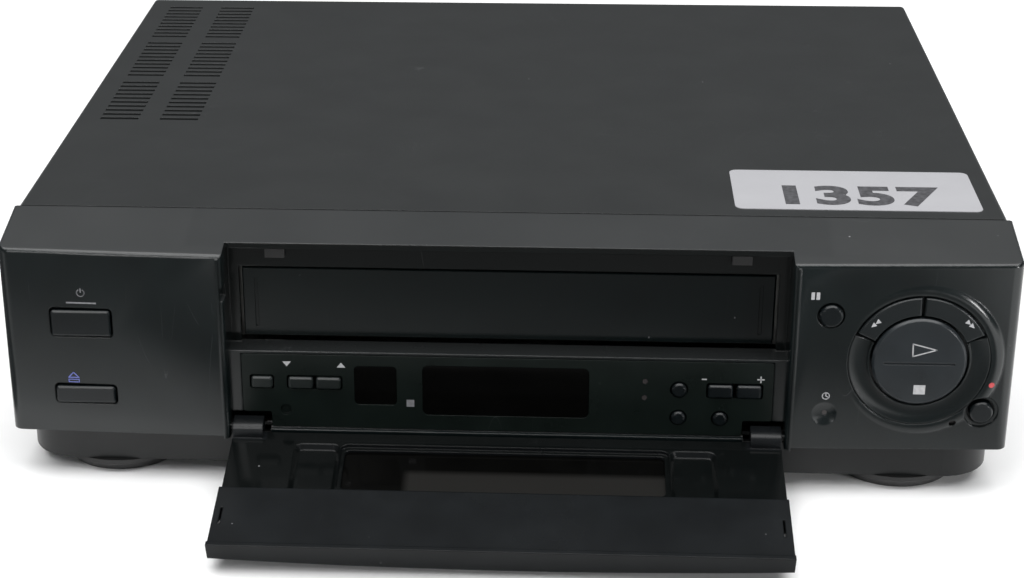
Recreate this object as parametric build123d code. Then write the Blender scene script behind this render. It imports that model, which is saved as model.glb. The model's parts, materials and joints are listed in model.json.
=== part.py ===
from build123d import *
import os
from math import acos, cos, degrees, radians, sin, sqrt

# A front-loading VHS video cassette recorder, standing on its four feet with its front door
# let down. While it is modelled, x runs to the right, y runs back from the front's outer
# corners, and z runs up from the table. At the end the whole model is moved along y, so that
# its origin is the middle of its footprint. All sizes are in millimetres.

# ---- The front's stack of heights, from the table up ----
foot_height = 5.5
tray_height = 13.5
sill_rise = 1.3
sill_gap = 0.5
panel_height = 29.0
ledge_rise = 1.2
mouth_height = 29.8
header_height = 9.7
slope_rise = 5.5

# ---- The standard cassette, and the widths that follow from it ----
cassette_width = 188.0
cassette_depth = 104.0
cassette_height = 25.0
mouth_play = 4.7
bay_margin = 3.75
panel_margin = 0.8
wing_width = 79.9
bay_offset = 0.8

# ---- The case ----
fascia_depth = 29.0
fascia_bow = 3.4
fascia_corner = 4.0
fascia_edge = 1.5
fascia_wall = 2.5
cover_inset = 1.3
cover_depth = 270.6
cover_sheet = 1.0
cover_bend = 2.5
cover_side_rise = 3.5
cover_flange = 9.0
seam_width = 0.6
seam_depth = 0.5
tray_side_inset = 3.2
tray_front = 4.2
tray_rear_inset = 3.0
tray_corner = 18.0
tray_wall = 2.2
tray_floor = 2.0
tray_rib = 1.6
tray_rib_start = 50.0
tray_rib_pitch = 40.0
tray_rib_height = 2.0
foot_radius = 25.3
foot_hollow = 1.2
foot_side_inset = 36.0
front_foot_inset = 23.3
rear_foot_inset = 31.6

# ---- Ventilation slots in the cover ----
slot_length = 15.6
slot_width = 2.5
slot_pitch = 5.17
slots_per_group = 10
slot_group_pitch = 57.0
slot_groups = 3
first_slot_inset = 97.2
slot_column_insets = (18.2, 42.6)

# ---- The bay behind the door ----
bay_back = 11.0
bay_lip_y = 6.4
ceiling_drop = 1.1
bay_wall = 2.2
bay_corner = 1.3
ledge_sheet = 1.0
lower_frame_y = 3.2
sill_y = 1.6
sill_hang = 1.0
hinge_pocket_width = 14.4
hinge_pocket_height = 6.5
hinge_pocket_back = 7.0
catch_notch_rise = 21.5
catch_notch_height = 5.0
catch_notch_depth = 4.0
buffer_size = (7.0, 2.0, 4.4)
buffer_spacing = 165.6

# ---- The front door ----
door_side_gap = 1.0
door_bottom_gap = 2.2
door_bow = 2.9
door_skin = 1.9
door_upper_depth = 6.0
door_lower_height = 36.0
door_lip_depth = 7.8
door_lip_sheet = 2.2
door_top_gap = 0.4
door_axis_y = 1.2
door_axis_rise = 1.1
door_open_angle = 101.4
door_pin_radius = 1.2
door_pin_length = 2.0
running_gap = 0.06
lug_width = 11.0
lug_depth = 4.4
lug_drop = 3.0
lug_rise = 4.6
lug_round = 4.0
door_window_shift = -0.1
door_window_width = 118.0
door_window_height = 25.0
door_window_rise = 6.1
door_window_ledge = 1.6
door_window_step = 1.4
door_window_corner = 3.0
door_pane = 0.9
door_pocket_width = 16.5
door_pocket_depth = 1.9
door_pocket_draft = 38.0
door_pocket_corner = 3.0
door_pocket_spacing = 134.8
door_lip_groove = 0.8
click_slot_rise = 46.8
click_slot_height = 8.5
click_slot_inset = 2.6
click_slot_width = 0.8

# ---- The cassette flap ----
flap_sheet = 2.0
flap_front = 12.0
flap_side_gap = 1.15
flap_bottom_gap = 2.1
flap_top_gap = 1.0
flap_axis_y = 14.8
flap_axis_rise = 1.5
flap_pin_radius = 1.2
flap_hub_radius = 1.4
flap_arm_width = 2.4
flap_ear_sheet = 2.0
flap_ear_gap = 0.5
flap_groove_inset = 4.8
flap_groove_width = 1.2
flap_groove_height = 19.5

# ---- The control panel ----
panel_front = 3.0
panel_sheet = 2.6
panel_notch = 10.4
panel_flange = 1.4
panel_gap = 0.15
display_height = 19.8
display_margin = 9.3
display_corner = 2.2
display_lamp_gap = 20.0
sensor_size = (15.4, 15.4)
sensor_corner = 1.6
pane_gap = 0.1
pane_flange = 1.0

# ---- How keys are formed ----
key_gap = 0.7
key_corner = 1.0
key_edge = 0.6
key_proud = 1.3
small_key_proud = 1.2
key_travel = 1.0
flange_rim = 1.6
flange_sheet = 1.2
flange_gap = 0.4
stem_size = 3.0
record_dish_radius = 6.1
record_dish_depth = 0.8
pinhole_radius = 2.1

# ---- The transport dial ----
dial_pocket_radius = 24.9
dial_pocket_depth = 2.2
dial_floor_sheet = 1.6
dial_pocket_wall = 1.0
rocker_hole_radius = 14.0
rocker_radius = 16.5
rocker_edge = 0.8
rocker_proud = 1.6
rocker_groove = 0.8
rocker_axis_depth = 7.0
rocker_pin_radius = 1.4
rocker_pin_reach = 9.0
rocker_stem_offset = 9.0
rocker_stem_gap = 0.6
ring_inner_radius = 17.4
ring_outer_radius = 24.2
ring_key_span = 66.0
ring_split = 1.0
ring_key_proud = 1.0
bezel_proud = 0.3
bezel_lip = 0.6
bezel_hollow = 0.9
rim_crest = 1.6
rim_width = 5.2
rim_height = 0.7
rim_fade = 1.4

# ---- Rear panel and its sockets ----
rear_sheet = 1.2
scart_block = (58.0, 19.0)
scart_shell = (47.0, 13.0)
scart_inset = 82.7
aerial_radius = 4.7
aerial_inset = 32.7
aerial_spacing = 20.0
aerial_pin_radius = 1.1
socket_reach = 8.0
inlet_inset = 32.7
inlet_body = (24.0, 15.0)
inlet_recess = (16.6, 9.0)
inlet_pitch = 8.6
inlet_pin_radius = 1.2
inlet_depth = 13.0

# ---- Screws ----
screw_rise = 5.0
screw_inset = 30.0
screw_radius = 1.6
screw_head_radius = 3.4
screw_head_height = 2.0
screw_length = 5.0
screw_boss = 9.0
screw_slot = 0.8
rear_screw_spacing = 119.0

# ---- Boards ----
board_sheet = 1.6
board_lift = 7.5
board_side_gap = 9.8
board_front = 68.0
board_leg_radius = 3.0
board_leg_inset = 6.0
board_rear_gap = 14.6
deck_board_gap = 3.9
front_board_y = 16.0
front_board_inset = 14.0
front_board_room = 6.0
front_board_rise = 5.0
front_board_drop = 1.8
switch_body = 6.0
switch_depth = 3.4
switch_plunger = 2.0
switch_gap = 0.1

# ---- Parts on the boards ----
chip_height = 3.0
chips = ((-11.0, 22.0, 16.0), (12.0, 62.0, 12.0), (-9.0, 102.0, 20.0))
capacitor_radius = 4.0
capacitor_height = 12.0
capacitors = ((-19.0, 52.0), (20.0, 12.0), (20.0, 36.0), (-19.0, 138.0), (20.0, 132.0))
power_capacitors = ((11.0, 28.0, 8.0, 30.0), (-15.0, 32.0, 6.0, 22.0), (13.0, 60.0, 5.0, 16.0))
heat_sink_place = (-22.0, 142.0)
heat_sink_length = 40.0
heat_sink_base = 3.0
heat_sink_height = 34.0
fin_sheet = 1.6
fin_pitch = 5.0
fin_count = 4
transformer_inset = 101.0
transformer_core = 42.0
transformer_height = 34.0
coil_size = (30.0, 58.0)
coil_corner = 6.0
coil_margin = 4.0
tuner_size = (32.0, 62.0)
tuner_margin = 10.0
tuner_foot_inset = 4.0
socket_inner = 6.0

# ---- The cassette deck ----
holder_front = 16.5
holder_play = 3.8
holder_sheet = 1.0
holder_lift = 1.2
holder_head_room = 0.6
holder_ledge_width = 14.0
holder_top_front = 46.0
holder_travel = 62.0
holder_pin_radius = 1.5
holder_pin_inset = 16.0
holder_pin_rise = 11.8
guide_plate_sheet = 1.2
guide_plate_gap = 2.0
guide_plate_back = 206.0
guide_slot_play = 0.3
guide_drop = 18.5
deck_lift = 8.0
deck_plate_sheet = 1.5
deck_front = 22.0
deck_rear_gap = 28.6
deck_margin = 5.1
deck_leg_radius = 4.0
deck_leg_inset = 12.0
reel_spacing = 92.0
reel_axis_y = 126.0
reel_radius = 20.0
reel_flange_rise = 4.0
reel_spline_radius = 5.0
reel_spline_height = 12.0
reel_shaft_radius = 1.5
reel_hub_height = 1.2
drum_y = 214.0
drum_radius = 31.0
drum_base_rise = 3.0
drum_split_rise = 19.5
drum_top_rise = 36.0
drum_shaft_radius = 3.0
drum_tilt = 5.0
drum_gap = 0.4
capstan_x = 56.0
capstan_y = 196.0
capstan_radius = 1.5
capstan_rise = 31.0
flywheel_radius = 19.0
flywheel_drop = 12.0
flywheel_height = 8.0
pinch_radius = 7.0
pinch_open_gap = 5.0
pinch_arm_length = 28.0
pinch_arm_lift = 5.0
pinch_arm_sheet = 2.4
pinch_pivot_radius = 2.0
pinch_axle_radius = 1.5
pinch_roller_height = 13.0
guide_track_radius = 44.0
guide_start_spacing = 44.0
guide_track_span = 66.0
guide_track_width = 6.0
guide_base_radius = 6.5
motor_inset = 32.0
motor_radius = 11.0
motor_length = 30.0
motor_base = 3.0
motor_shaft_radius = 1.5
head_size = (10.0, 8.0, 18.0)
head_post_radius = 4.0
head_post_height = 6.0
head_gap = 35.0
head_inset = 14.0
head_capstan_gap = 18.0

# ---- The sticker on the cover ----
label_size = (88.6, 40.0)
label_side_inset = 52.0
label_front_inset = 26.2
label_corner = 3.0
label_sheet = 0.3

# ---- Worked out from the sizes above: heights ----
fascia_bottom = foot_height + tray_height
sill_bottom = fascia_bottom - sill_hang
sill_top = fascia_bottom + sill_rise
panel_bottom = sill_top + sill_gap
panel_top = panel_bottom + panel_height
ledge_height = panel_top + ledge_rise
mouth_top = ledge_height + mouth_height
fascia_front_top = mouth_top + header_height
case_height = fascia_front_top + slope_rise
cover_side_bottom = foot_height + cover_side_rise
bay_ceiling = fascia_front_top - ceiling_drop
hinge_pocket_top = sill_top + hinge_pocket_height
catch_notch_z = ledge_height + catch_notch_rise
door_bottom = sill_top + door_bottom_gap
door_axis_z = sill_top + door_axis_rise
door_step_z = door_bottom + door_lower_height
door_window_bottom = door_bottom + door_window_rise
door_window_top = door_window_bottom + door_window_height
flap_axis_z = mouth_top + flap_axis_rise
tray_floor_top = foot_height + tray_floor
board_z = tray_floor_top + board_lift
board_top = board_z + board_sheet
deck_plate_z = fascia_bottom + deck_lift
deck_top = deck_plate_z + deck_plate_sheet
reel_flange_z = deck_plate_z + reel_flange_rise
drum_base_z = deck_plate_z + drum_base_rise
drum_split_z = deck_plate_z + drum_split_rise
drum_top_z = deck_plate_z + drum_top_rise
capstan_top = deck_plate_z + capstan_rise
flywheel_z = deck_plate_z - flywheel_drop
holder_ledge_z = ledge_height + holder_lift
holder_top_z = holder_ledge_z + cassette_height + holder_head_room
holder_pin_z = holder_ledge_z + holder_pin_rise
screw_height = fascia_bottom + screw_rise
rear_screw_z = case_height - cover_flange / 2 - 0.5

# ---- Worked out from the sizes above: widths ----
mouth_width = cassette_width + mouth_play
bay_width = mouth_width + 2 * bay_margin
fascia_width = bay_width + 2 * wing_width
fascia_half = fascia_width / 2
bay_center = bay_offset
bay_left = bay_center - bay_width / 2
bay_right = bay_center + bay_width / 2
mouth_left = bay_center - mouth_width / 2
mouth_right = bay_center + mouth_width / 2
panel_left = mouth_left + panel_margin
panel_right = mouth_right - panel_margin
left_wing = (bay_left - fascia_half) / 2
right_wing = (bay_right + fascia_half) / 2
cover_half = fascia_half - cover_inset
door_window_center = bay_center + door_window_shift
tray_half = fascia_half - tray_side_inset
holder_inner_half = (cassette_width + holder_play) / 2
holder_outer_half = holder_inner_half + holder_sheet
guide_x = holder_outer_half + guide_plate_gap
deck_half = guide_x + deck_margin
board_outer = tray_half - board_side_gap
board_inner = deck_half + deck_board_gap
board_middle = (board_inner + board_outer) / 2

# ---- Worked out from the sizes above: depths ----
top_slope = slope_rise / fascia_depth
cover_back = fascia_depth + cover_depth
tray_back = cover_back - tray_rear_inset
front_foot_y = tray_front + front_foot_inset
rear_foot_y = cover_back - rear_foot_inset
panel_back = lower_frame_y + panel_sheet + panel_flange
board_back = tray_back - board_rear_gap
deck_back = tray_back - deck_rear_gap
screw_ys = (fascia_depth + screw_inset, cover_back - screw_inset)
rear_face = cover_back - cover_sheet - 0.1
plunger_y = front_board_y - switch_depth - switch_plunger
guide_track_start = 360 - degrees(acos(guide_start_spacing / 2 / guide_track_radius))
stem_end = plunger_y - key_travel - switch_gap

# ---- Keys and buttons: centre x, centre z, width, height, or centre x, centre z, diameter ----
power_key = (left_wing - 11.55, fascia_bottom + 43.8, 21.4, 9.9)
eject_key = (left_wing - 11.65, fascia_bottom + 15.5, 21.6, 6.5)
pause_button = (right_wing - 26.05, fascia_bottom + 52.2, 8.2)
record_button = (right_wing + 29.05, fascia_bottom + 15.1, 8.2)
auto_tracking_key = (panel_left + 7.25, panel_bottom + 18.0, 7.8, 4.6)
tracking_down_key = (panel_left + 21.35, panel_bottom + 18.0, 9.0, 4.6)
tracking_up_key = (panel_left + 31.45, panel_bottom + 18.0, 9.0, 4.6)
program_down_key = (panel_right - 18.75, panel_bottom + 17.8, 8.9, 5.0)
program_up_key = (panel_right - 8.55, panel_bottom + 17.8, 8.9, 5.0)
preset_button = (panel_right - 33.45, panel_bottom + 18.0, 5.5)
search_button = (panel_right - 33.45, panel_bottom + 6.9, 5.2)
erase_button = (panel_right - 18.55, panel_bottom + 6.8, 5.2)
pinhole = (panel_left + 15.65, panel_bottom + 6.9)
dial_x = right_wing + 5.6
dial_z = fascia_bottom + 35.1

# ---- Windows: centre x, centre z. Lamps: centre x, centre z, radius ----
sensor_center = (panel_left + 48.45, panel_bottom + 17.2)
program_lamp = (panel_right - 45.65, panel_bottom + 21.0, 1.0)
search_lamp = (panel_right - 45.75, panel_bottom + 14.5, 1.0)
display_left = sensor_center[0] + sensor_size[0] / 2 + display_margin
display_right = program_lamp[0] - display_lamp_gap
display_size = (display_right - display_left, display_height)
display_center = ((display_left + display_right) / 2, panel_bottom + 15.7)
timer_lamp = (right_wing - 26.05, fascia_bottom + 13.9, 1.0)
record_lamp = (right_wing + 19.15, fascia_bottom + 10.9, 1.3)
timer_dish_radius = 4.5
timer_dish_depth = 1.2

# ---- Rear sockets: centre x, centre z ----
scart_center = (cover_half - scart_inset, fascia_bottom + 21.0)
aerial_in = (cover_half - aerial_inset, fascia_bottom + 49.0)
aerial_out = (aerial_in[0], aerial_in[1] - aerial_spacing)
inlet_center = (inlet_inset - cover_half, fascia_bottom + 17.0)
label_center = (cover_half - label_side_inset, fascia_depth + label_front_inset)


# ---- Small shape helpers ----

def block(x0, x1, y0, y1, z0, z1):
    """A straight block between two corners."""
    return Pos((x0 + x1) / 2, (y0 + y1) / 2, (z0 + z1) / 2) * Box(x1 - x0, y1 - y0, z1 - z0)


def rod_x(radius, y, z, x0, x1):
    return Pos((x0 + x1) / 2, y, z) * Rot(0, 90, 0) * Cylinder(radius, x1 - x0)


def rod_y(radius, x, z, y0, y1):
    return Pos(x, (y0 + y1) / 2, z) * Rot(90, 0, 0) * Cylinder(radius, y1 - y0)


def rod_z(radius, x, y, z0, z1):
    return Pos(x, y, (z0 + z1) / 2) * Cylinder(radius, z1 - z0)


def front_plane(x, y, z):
    """A plane that faces the front, with its own x to the right and its own y up."""
    return Plane(origin=(x, y, z), x_dir=(1, 0, 0), z_dir=(0, -1, 0))


def slab(sketch, x, z, y0, y1):
    """A sketch drawn as seen from the front, given depth from y0 back to y1."""
    return extrude(front_plane(x, y0, z) * sketch, amount=-(y1 - y0))


def side_slab(points, x0, x1):
    """A closed outline of (y, z) points, given width from x0 to x1."""
    return extrude(Plane.YZ.offset(x0) * make_face(Polyline(*points, close=True)), amount=x1 - x0)


def bowed_plan(left, right, end_y, back_y, bow, corner=0.0):
    """A plan outline whose front edge is an arc that stands ahead of its two ends by bow."""
    middle = (left + right) / 2
    outline = [
        ThreePointArc((left, end_y), (middle, end_y - bow), (right, end_y)),
        Line((right, end_y), (right, back_y)),
        Line((right, back_y), (left, back_y)),
        Line((left, back_y), (left, end_y)),
    ]
    face = make_face(outline)
    if corner > 0:
        face = fillet(face.vertices().sort_by(Axis.Y)[:2], corner)
    return face


def standing(plan, z0, z1):
    """A plan outline given height from z0 to z1."""
    return extrude(Pos(0, 0, z0) * plan, amount=z1 - z0)


def bow_y(x, half_width, bow):
    """Where a bowed front lies at x, when its ends lie at y = 0."""
    radius = (half_width ** 2 + bow ** 2) / (2 * bow)
    return radius - bow - sqrt(radius ** 2 - x ** 2)


def fascia_y(x):
    return bow_y(x, fascia_half, fascia_bow)


def slope_z(y, drop=0.0):
    """The height of the fascia's sloping top at y, less a drop."""
    return case_height - (fascia_depth - y) * top_slope - drop


def above_slope(drop=0.0):
    """Everything that lies above the fascia's sloping top, less a drop."""
    near = -fascia_depth
    far = 2 * fascia_depth
    high = case_height + fascia_depth
    points = [(near, slope_z(near, drop)), (far, slope_z(far, drop)), (far, high), (near, high)]
    return side_slab(points, -fascia_width, fascia_width)


# ---- Case ----

def fascia_form(inset, back):
    """The outer form of the fascia, drawn in by inset everywhere but at the back."""
    half = fascia_half - inset
    plan = bowed_plan(-half, half, inset, back, fascia_bow, fascia_corner - inset / 2)
    return standing(plan, fascia_bottom + inset, case_height) - above_slope(inset)


def make_front_fascia():
    shell = fascia_form(0, fascia_depth)
    rim = [e for e in shell.edges()
           if e.center().Z > fascia_front_top - 2 and e.center().Y < fascia_depth - 1]
    shell = fillet(rim, fascia_edge)
    shell -= fascia_form(fascia_wall, fascia_depth + 1)

    tub_left = bay_left - bay_wall
    tub_right = bay_right + bay_wall
    tub_back = bay_back + bay_wall
    tub = block(tub_left, tub_right, lower_frame_y - 6, tub_back, sill_bottom, case_height)
    tub -= block(bay_left - 1, bay_right + 1, lower_frame_y + panel_sheet, tub_back + 1,
                 sill_bottom - 1, ledge_height - ledge_sheet)
    shell += tub - above_slope(fascia_wall / 2)

    high = case_height + 1
    shell -= block(bay_left, bay_right, -9, bay_lip_y, ledge_height, high)
    shell -= block(bay_left, bay_right, bay_lip_y - 1, bay_back, ledge_height, bay_ceiling)
    shell -= block(bay_left, bay_right, -9, lower_frame_y, sill_top, ledge_height + 1)
    shell -= block(bay_left, bay_right, -9, sill_y, sill_bottom - 1, sill_top + 1)
    shell -= block(mouth_left, mouth_right, bay_back - 1, tub_back + 1, ledge_height, mouth_top)
    shell -= block(panel_left - panel_gap, panel_right + panel_gap, 0, tub_back + 1,
                   panel_bottom - panel_gap, panel_top + panel_gap)

    for side in (-1, 1):
        wall = bay_center + side * bay_width / 2
        inner = wall - side * hinge_pocket_width
        low_x, high_x = min(wall, inner), max(wall, inner)
        shell -= block(low_x, high_x, -9, hinge_pocket_back, sill_bottom - 1, hinge_pocket_top)
        shell -= rod_x(door_pin_radius + running_gap, door_axis_y, door_axis_z,
                       min(wall, wall + side * (door_pin_length + 1)),
                       max(wall, wall + side * (door_pin_length + 1)))
        shell += make_flap_ear(side)
        front = fascia_y(wall)
        corner_x = wall + side * bay_corner
        corner = block(min(wall - side, corner_x), max(wall - side, corner_x), front - 1,
                       front + bay_corner, sill_bottom - 1, high)
        shell -= corner - rod_z(bay_corner, corner_x, front + bay_corner, 0, high)
    shell += rod_y(dial_pocket_radius + dial_pocket_wall, dial_x, dial_z,
                   fascia_y(dial_x) + fascia_wall - 0.5, dial_floor() + dial_floor_sheet)
    shell += make_dial_rim()
    return shell - fascia_key_holes() - dial_pocket() - cover_seam() - door_catch_notch()


def cover_seam():
    """The narrow groove where the fascia's top meets the cover."""
    return block(-fascia_width, fascia_width, fascia_depth - seam_width, fascia_depth + 1,
                 case_height - seam_depth, case_height + 1)


def door_catch_notch():
    """The notch in the bay's left wall that the shut door's side snaps over."""
    return block(bay_left - bay_wall / 2, bay_left + 1, -9, catch_notch_depth,
                 catch_notch_z, catch_notch_z + catch_notch_height)


def make_flap_ear(side):
    """The ear behind the mouth's upper corner that carries one of the flap's pins."""
    near = bay_center + side * (mouth_width / 2 + flap_ear_gap)
    far = near + side * flap_ear_sheet
    reach = flap_pin_radius + 1.6
    ear = block(min(near, far), max(near, far), bay_back + bay_wall, flap_axis_y + reach,
                flap_axis_z - reach, flap_axis_z + reach)
    hole = rod_x(flap_pin_radius + running_gap, flap_axis_y, flap_axis_z,
                 min(near, far) - 1, max(near, far) + 1)
    return ear - hole


def fascia_key_holes():
    holes = Part()
    for x, z, width, height in (power_key, eject_key):
        mouth = RectangleRounded(width + 2 * key_gap, height + 2 * key_gap, key_corner + key_gap)
        holes += slab(mouth, x, z, -9, fascia_wall + 4)
    for x, z, diameter in (pause_button, record_button):
        holes += rod_y(diameter / 2 + key_gap, x, z, -9, fascia_wall + 4)
    x, z, diameter = record_button
    dish_y = fascia_y(x)
    holes += rod_y(record_dish_radius, x, z, -9, dish_y + record_dish_depth)
    x, z, radius = timer_lamp
    ball = (timer_dish_radius ** 2 + timer_dish_depth ** 2) / (2 * timer_dish_depth)
    holes += Pos(x, fascia_y(x) + timer_dish_depth - ball, z) * Sphere(ball)
    for x, z, radius in (timer_lamp, record_lamp):
        holes += rod_y(radius, x, z, -9, fascia_wall + 4)
    return holes


def dial_floor():
    """Where the floor of the dial's pocket lies, in depth."""
    return fascia_y(dial_x) + dial_pocket_depth


def dial_pocket():
    """The round pocket that the transport keys sit in, and the holes in its floor."""
    pocket = rod_y(dial_pocket_radius, dial_x, dial_z, -9, dial_floor())
    pocket += rod_y(rocker_hole_radius, dial_x, dial_z, 0, dial_floor() + fascia_wall)
    for angle in ring_key_angles():
        x, z = dial_point(angle, (ring_inner_radius + ring_outer_radius) / 2)
        pocket += slab(Rectangle(stem_size + 1, stem_size + 1), x, z, 0, dial_floor() + fascia_wall)
    return pocket


def ring_key_angles():
    """The middle angles of the rewind key and the fast forward key."""
    return (90 + ring_key_span / 2, 90 - ring_key_span / 2)


def dial_point(angle, radius):
    return (dial_x + radius * cos(radians(angle)), dial_z + radius * sin(radians(angle)))


def make_top_cover():
    cover = block(-cover_half, cover_half, fascia_depth, cover_back, cover_side_bottom, case_height)
    bends = [e for e in cover.edges().filter_by(Axis.Y) if e.center().Z > case_height - 1]
    cover = fillet(bends, cover_bend)
    inner_half = cover_half - cover_sheet
    room = block(-inner_half, inner_half, fascia_depth - 1, cover_back + 1,
                 cover_side_bottom - 1, case_height - cover_sheet)
    inner_bends = [e for e in room.edges().filter_by(Axis.Y) if e.center().Z > cover_side_bottom]
    cover -= fillet(inner_bends, cover_bend - cover_sheet)
    cover += block(-inner_half + cover_bend, inner_half - cover_bend, cover_back - cover_sheet,
                   cover_back, case_height - cover_flange, case_height - cover_sheet)
    cover -= vent_slots()
    for place in cover_screw_places():
        cover -= Pos(*place) * screw_bore()
    for x in rear_screw_xs():
        cover -= rod_y(screw_radius + 0.1, x, rear_screw_z, cover_back - 3, cover_back + 1)
    return cover


def vent_slots():
    slot = Box(slot_length, slot_width, 4 * cover_sheet)
    rows = [fascia_depth + first_slot_inset + group * slot_group_pitch + row * slot_pitch
            for group in range(slot_groups) for row in range(slots_per_group)]
    columns = [inset - cover_half for inset in slot_column_insets]
    return Part() + [Pos(x, y, case_height) * slot for x in columns for y in rows]


def cover_screw_places():
    return [(side * cover_half, y, screw_height) for side in (-1, 1) for y in screw_ys]


def rear_screw_xs():
    return (-rear_screw_spacing, 0.0, rear_screw_spacing)


def screw_bore():
    return Rot(0, 90, 0) * Cylinder(screw_radius + 0.1, 6 * cover_sheet)


def screw_shape():
    """A pan-headed screw along +x, with its head's seat at x = 0 and a slot across its head."""
    edge = screw_head_height * 0.4
    outline = Polyline((-screw_length, 0), (-screw_length, screw_radius), (0, screw_radius),
                       (0, screw_head_radius), (screw_head_height - edge, screw_head_radius),
                       (screw_head_height, screw_head_radius - edge), (screw_head_height, 0),
                       close=True)
    screw = revolve(make_face(outline), Axis.X)
    return screw - Pos(screw_head_height, 0, 0) * Box(screw_head_height, screw_slot, 10)


def make_cover_screws():
    right = screw_shape()
    left = Rot(0, 0, 180) * right
    screws = [Pos(x, y, z) * (right if x > 0 else left) for x, y, z in cover_screw_places()]
    rear = Rot(0, 0, 90) * right
    screws += [Pos(x, cover_back, rear_screw_z) * rear for x in rear_screw_xs()]
    return Part() + screws


def tray_plan(inset):
    """The tray's outline from above, with its two rounded front corners, drawn in by inset."""
    half = tray_half - inset
    front = tray_front + inset
    outline = Polyline((-half, front), (half, front), (half, tray_back - inset),
                       (-half, tray_back - inset), close=True)
    face = make_face(outline)
    return fillet(face.vertices().sort_by(Axis.Y)[:2], tray_corner - inset)


def make_base_tray():
    tray = standing(tray_plan(0), foot_height, fascia_bottom)
    tray -= standing(tray_plan(tray_wall), tray_floor_top, fascia_bottom + 1)
    tray -= block(bay_left - bay_wall - 1, bay_right + bay_wall + 1, 0, bay_back + bay_wall + 1,
                  sill_bottom - 0.1, fascia_bottom + 1)
    root = tray_floor_top - 0.5
    for x, y in deck_posts():
        tray += rod_z(deck_leg_radius, x, y, root, deck_plate_z)
    for x, y in board_posts():
        tray += rod_z(board_leg_radius, x, y, root, board_z)
    for side in (-1, 1):
        wall = side * (cover_half - cover_sheet)
        inner = wall - side * screw_boss
        for y in screw_ys:
            tray += block(min(wall, inner), max(wall, inner), y - screw_boss / 2, y + screw_boss / 2,
                          root, screw_height + screw_boss / 2)
            tray -= Pos(wall, y, screw_height) * Rot(0, 90, 0) * Cylinder(
                screw_radius + 0.05, 2 * screw_length)
    count = int((tray_back - tray_rib_start) / tray_rib_pitch) + 1
    for index in range(count):
        y = tray_rib_start + index * tray_rib_pitch
        tray += block(-tray_half + tray_wall, tray_half - tray_wall, y, y + tray_rib,
                      root, tray_floor_top + tray_rib_height)
    return tray


def deck_posts():
    reach = deck_half - deck_leg_inset
    return [(bay_center + x, y) for x in (-reach, reach)
            for y in (deck_front + deck_leg_inset, deck_back - deck_leg_inset)]


def board_posts():
    columns = (board_inner + board_leg_inset, board_outer - board_leg_inset)
    rows = (board_front + board_leg_inset, board_back - board_leg_inset)
    return [(side * x, y) for side in (-1, 1) for x in columns for y in rows]


def make_foot():
    """A shallow moulded foot that stands on a ring round its hollow middle."""
    tread_outer = foot_radius - 3.5
    tread_inner = foot_radius - 9.0
    outline = Polyline((0, foot_height), (foot_radius, foot_height), (foot_radius, foot_height - 1.5),
                       (tread_outer, 0), (tread_inner, 0), (tread_inner, foot_hollow),
                       (0, foot_hollow), close=True)
    return revolve(Plane.XZ * make_face(outline), Axis.Z)


def foot_places():
    x = fascia_half - foot_side_inset
    return {
        "foot_front_left": (-x, front_foot_y, 0), "foot_front_right": (x, front_foot_y, 0),
        "foot_rear_left": (-x, rear_foot_y, 0), "foot_rear_right": (x, rear_foot_y, 0),
    }


# ---- Door ----

def door_plan(inner_y):
    """The door's outline from above when it is shut, back to inner_y."""
    end_y = fascia_y(bay_width / 2)
    left = bay_left + door_side_gap
    right = bay_right - door_side_gap
    return bowed_plan(left, right, end_y, inner_y, door_bow)


def make_front_door_shut():
    end_y = fascia_y(bay_width / 2)
    left = bay_left + door_side_gap
    right = bay_right - door_side_gap
    lower_y = end_y + door_skin
    upper_y = end_y + door_upper_depth
    top = case_height
    door = standing(door_plan(lower_y), door_bottom, door_step_z)
    door += standing(door_plan(upper_y), door_step_z, top)
    lip = standing(door_plan(end_y + door_lip_depth), slope_z(0) - 2 * door_lip_sheet, top)
    lip -= block(left - 1, right + 1, upper_y, top, 0, slope_z(upper_y) - door_lip_sheet)
    door = door + lip - above_slope(door_top_gap)
    front_edges = [e for e in door.edges() if e.center().Y < end_y + 0.2
                   and e.center().Z > slope_z(-6, door_top_gap) - 0.5]
    door = fillet(front_edges, fascia_edge)

    for side in (-1, 1):
        door -= door_pocket(door_window_center + side * door_pocket_spacing / 2, lower_y)
    middle_z = (door_window_bottom + door_window_top) / 2
    height = door_window_top - door_window_bottom
    frame = RectangleRounded(door_window_width, height, door_window_corner)
    opening = RectangleRounded(door_window_width - 2 * door_window_ledge,
                               height - 2 * door_window_ledge, door_window_corner - 1)
    door -= slab(opening, door_window_center, middle_z, -12, lower_y + 1)
    door -= slab(frame, door_window_center, middle_z, -12, door_pane_back())
    door -= slab(frame, door_window_center, middle_z, lower_y - door_window_step, upper_y + 1)
    groove_z = slope_z(upper_y) - door_lip_sheet - 2 * door_lip_groove
    door -= block(left - 1, right + 1, upper_y - door_lip_groove / 2, upper_y + 1,
                  groove_z, groove_z + door_lip_groove)

    for side in (-1, 1):
        slot_x = bay_center + side * (bay_width / 2 - door_side_gap - click_slot_inset)
        slot_z = door_bottom + click_slot_rise
        door -= block(slot_x - click_slot_width / 2, slot_x + click_slot_width / 2, -12, upper_y + 1,
                      slot_z, slot_z + click_slot_height)
        door += make_door_lug(side)
    return door


def door_pocket(x, face_y):
    """A shallow dish with sloping sides, sunk into the inner face of the door's lower half."""
    height = door_step_z - door_window_bottom
    outline = RectangleRounded(door_pocket_width, height, door_pocket_corner)
    place = front_plane(x, face_y, door_window_bottom + height / 2)
    return extrude(place * outline, amount=door_pocket_depth, taper=door_pocket_draft)


def door_pane_back():
    """Where the window pane's flat back lies, in the deepest part of its seat."""
    return fascia_y(bay_width / 2) - door_bow + 2 * door_pane + 0.4


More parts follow.
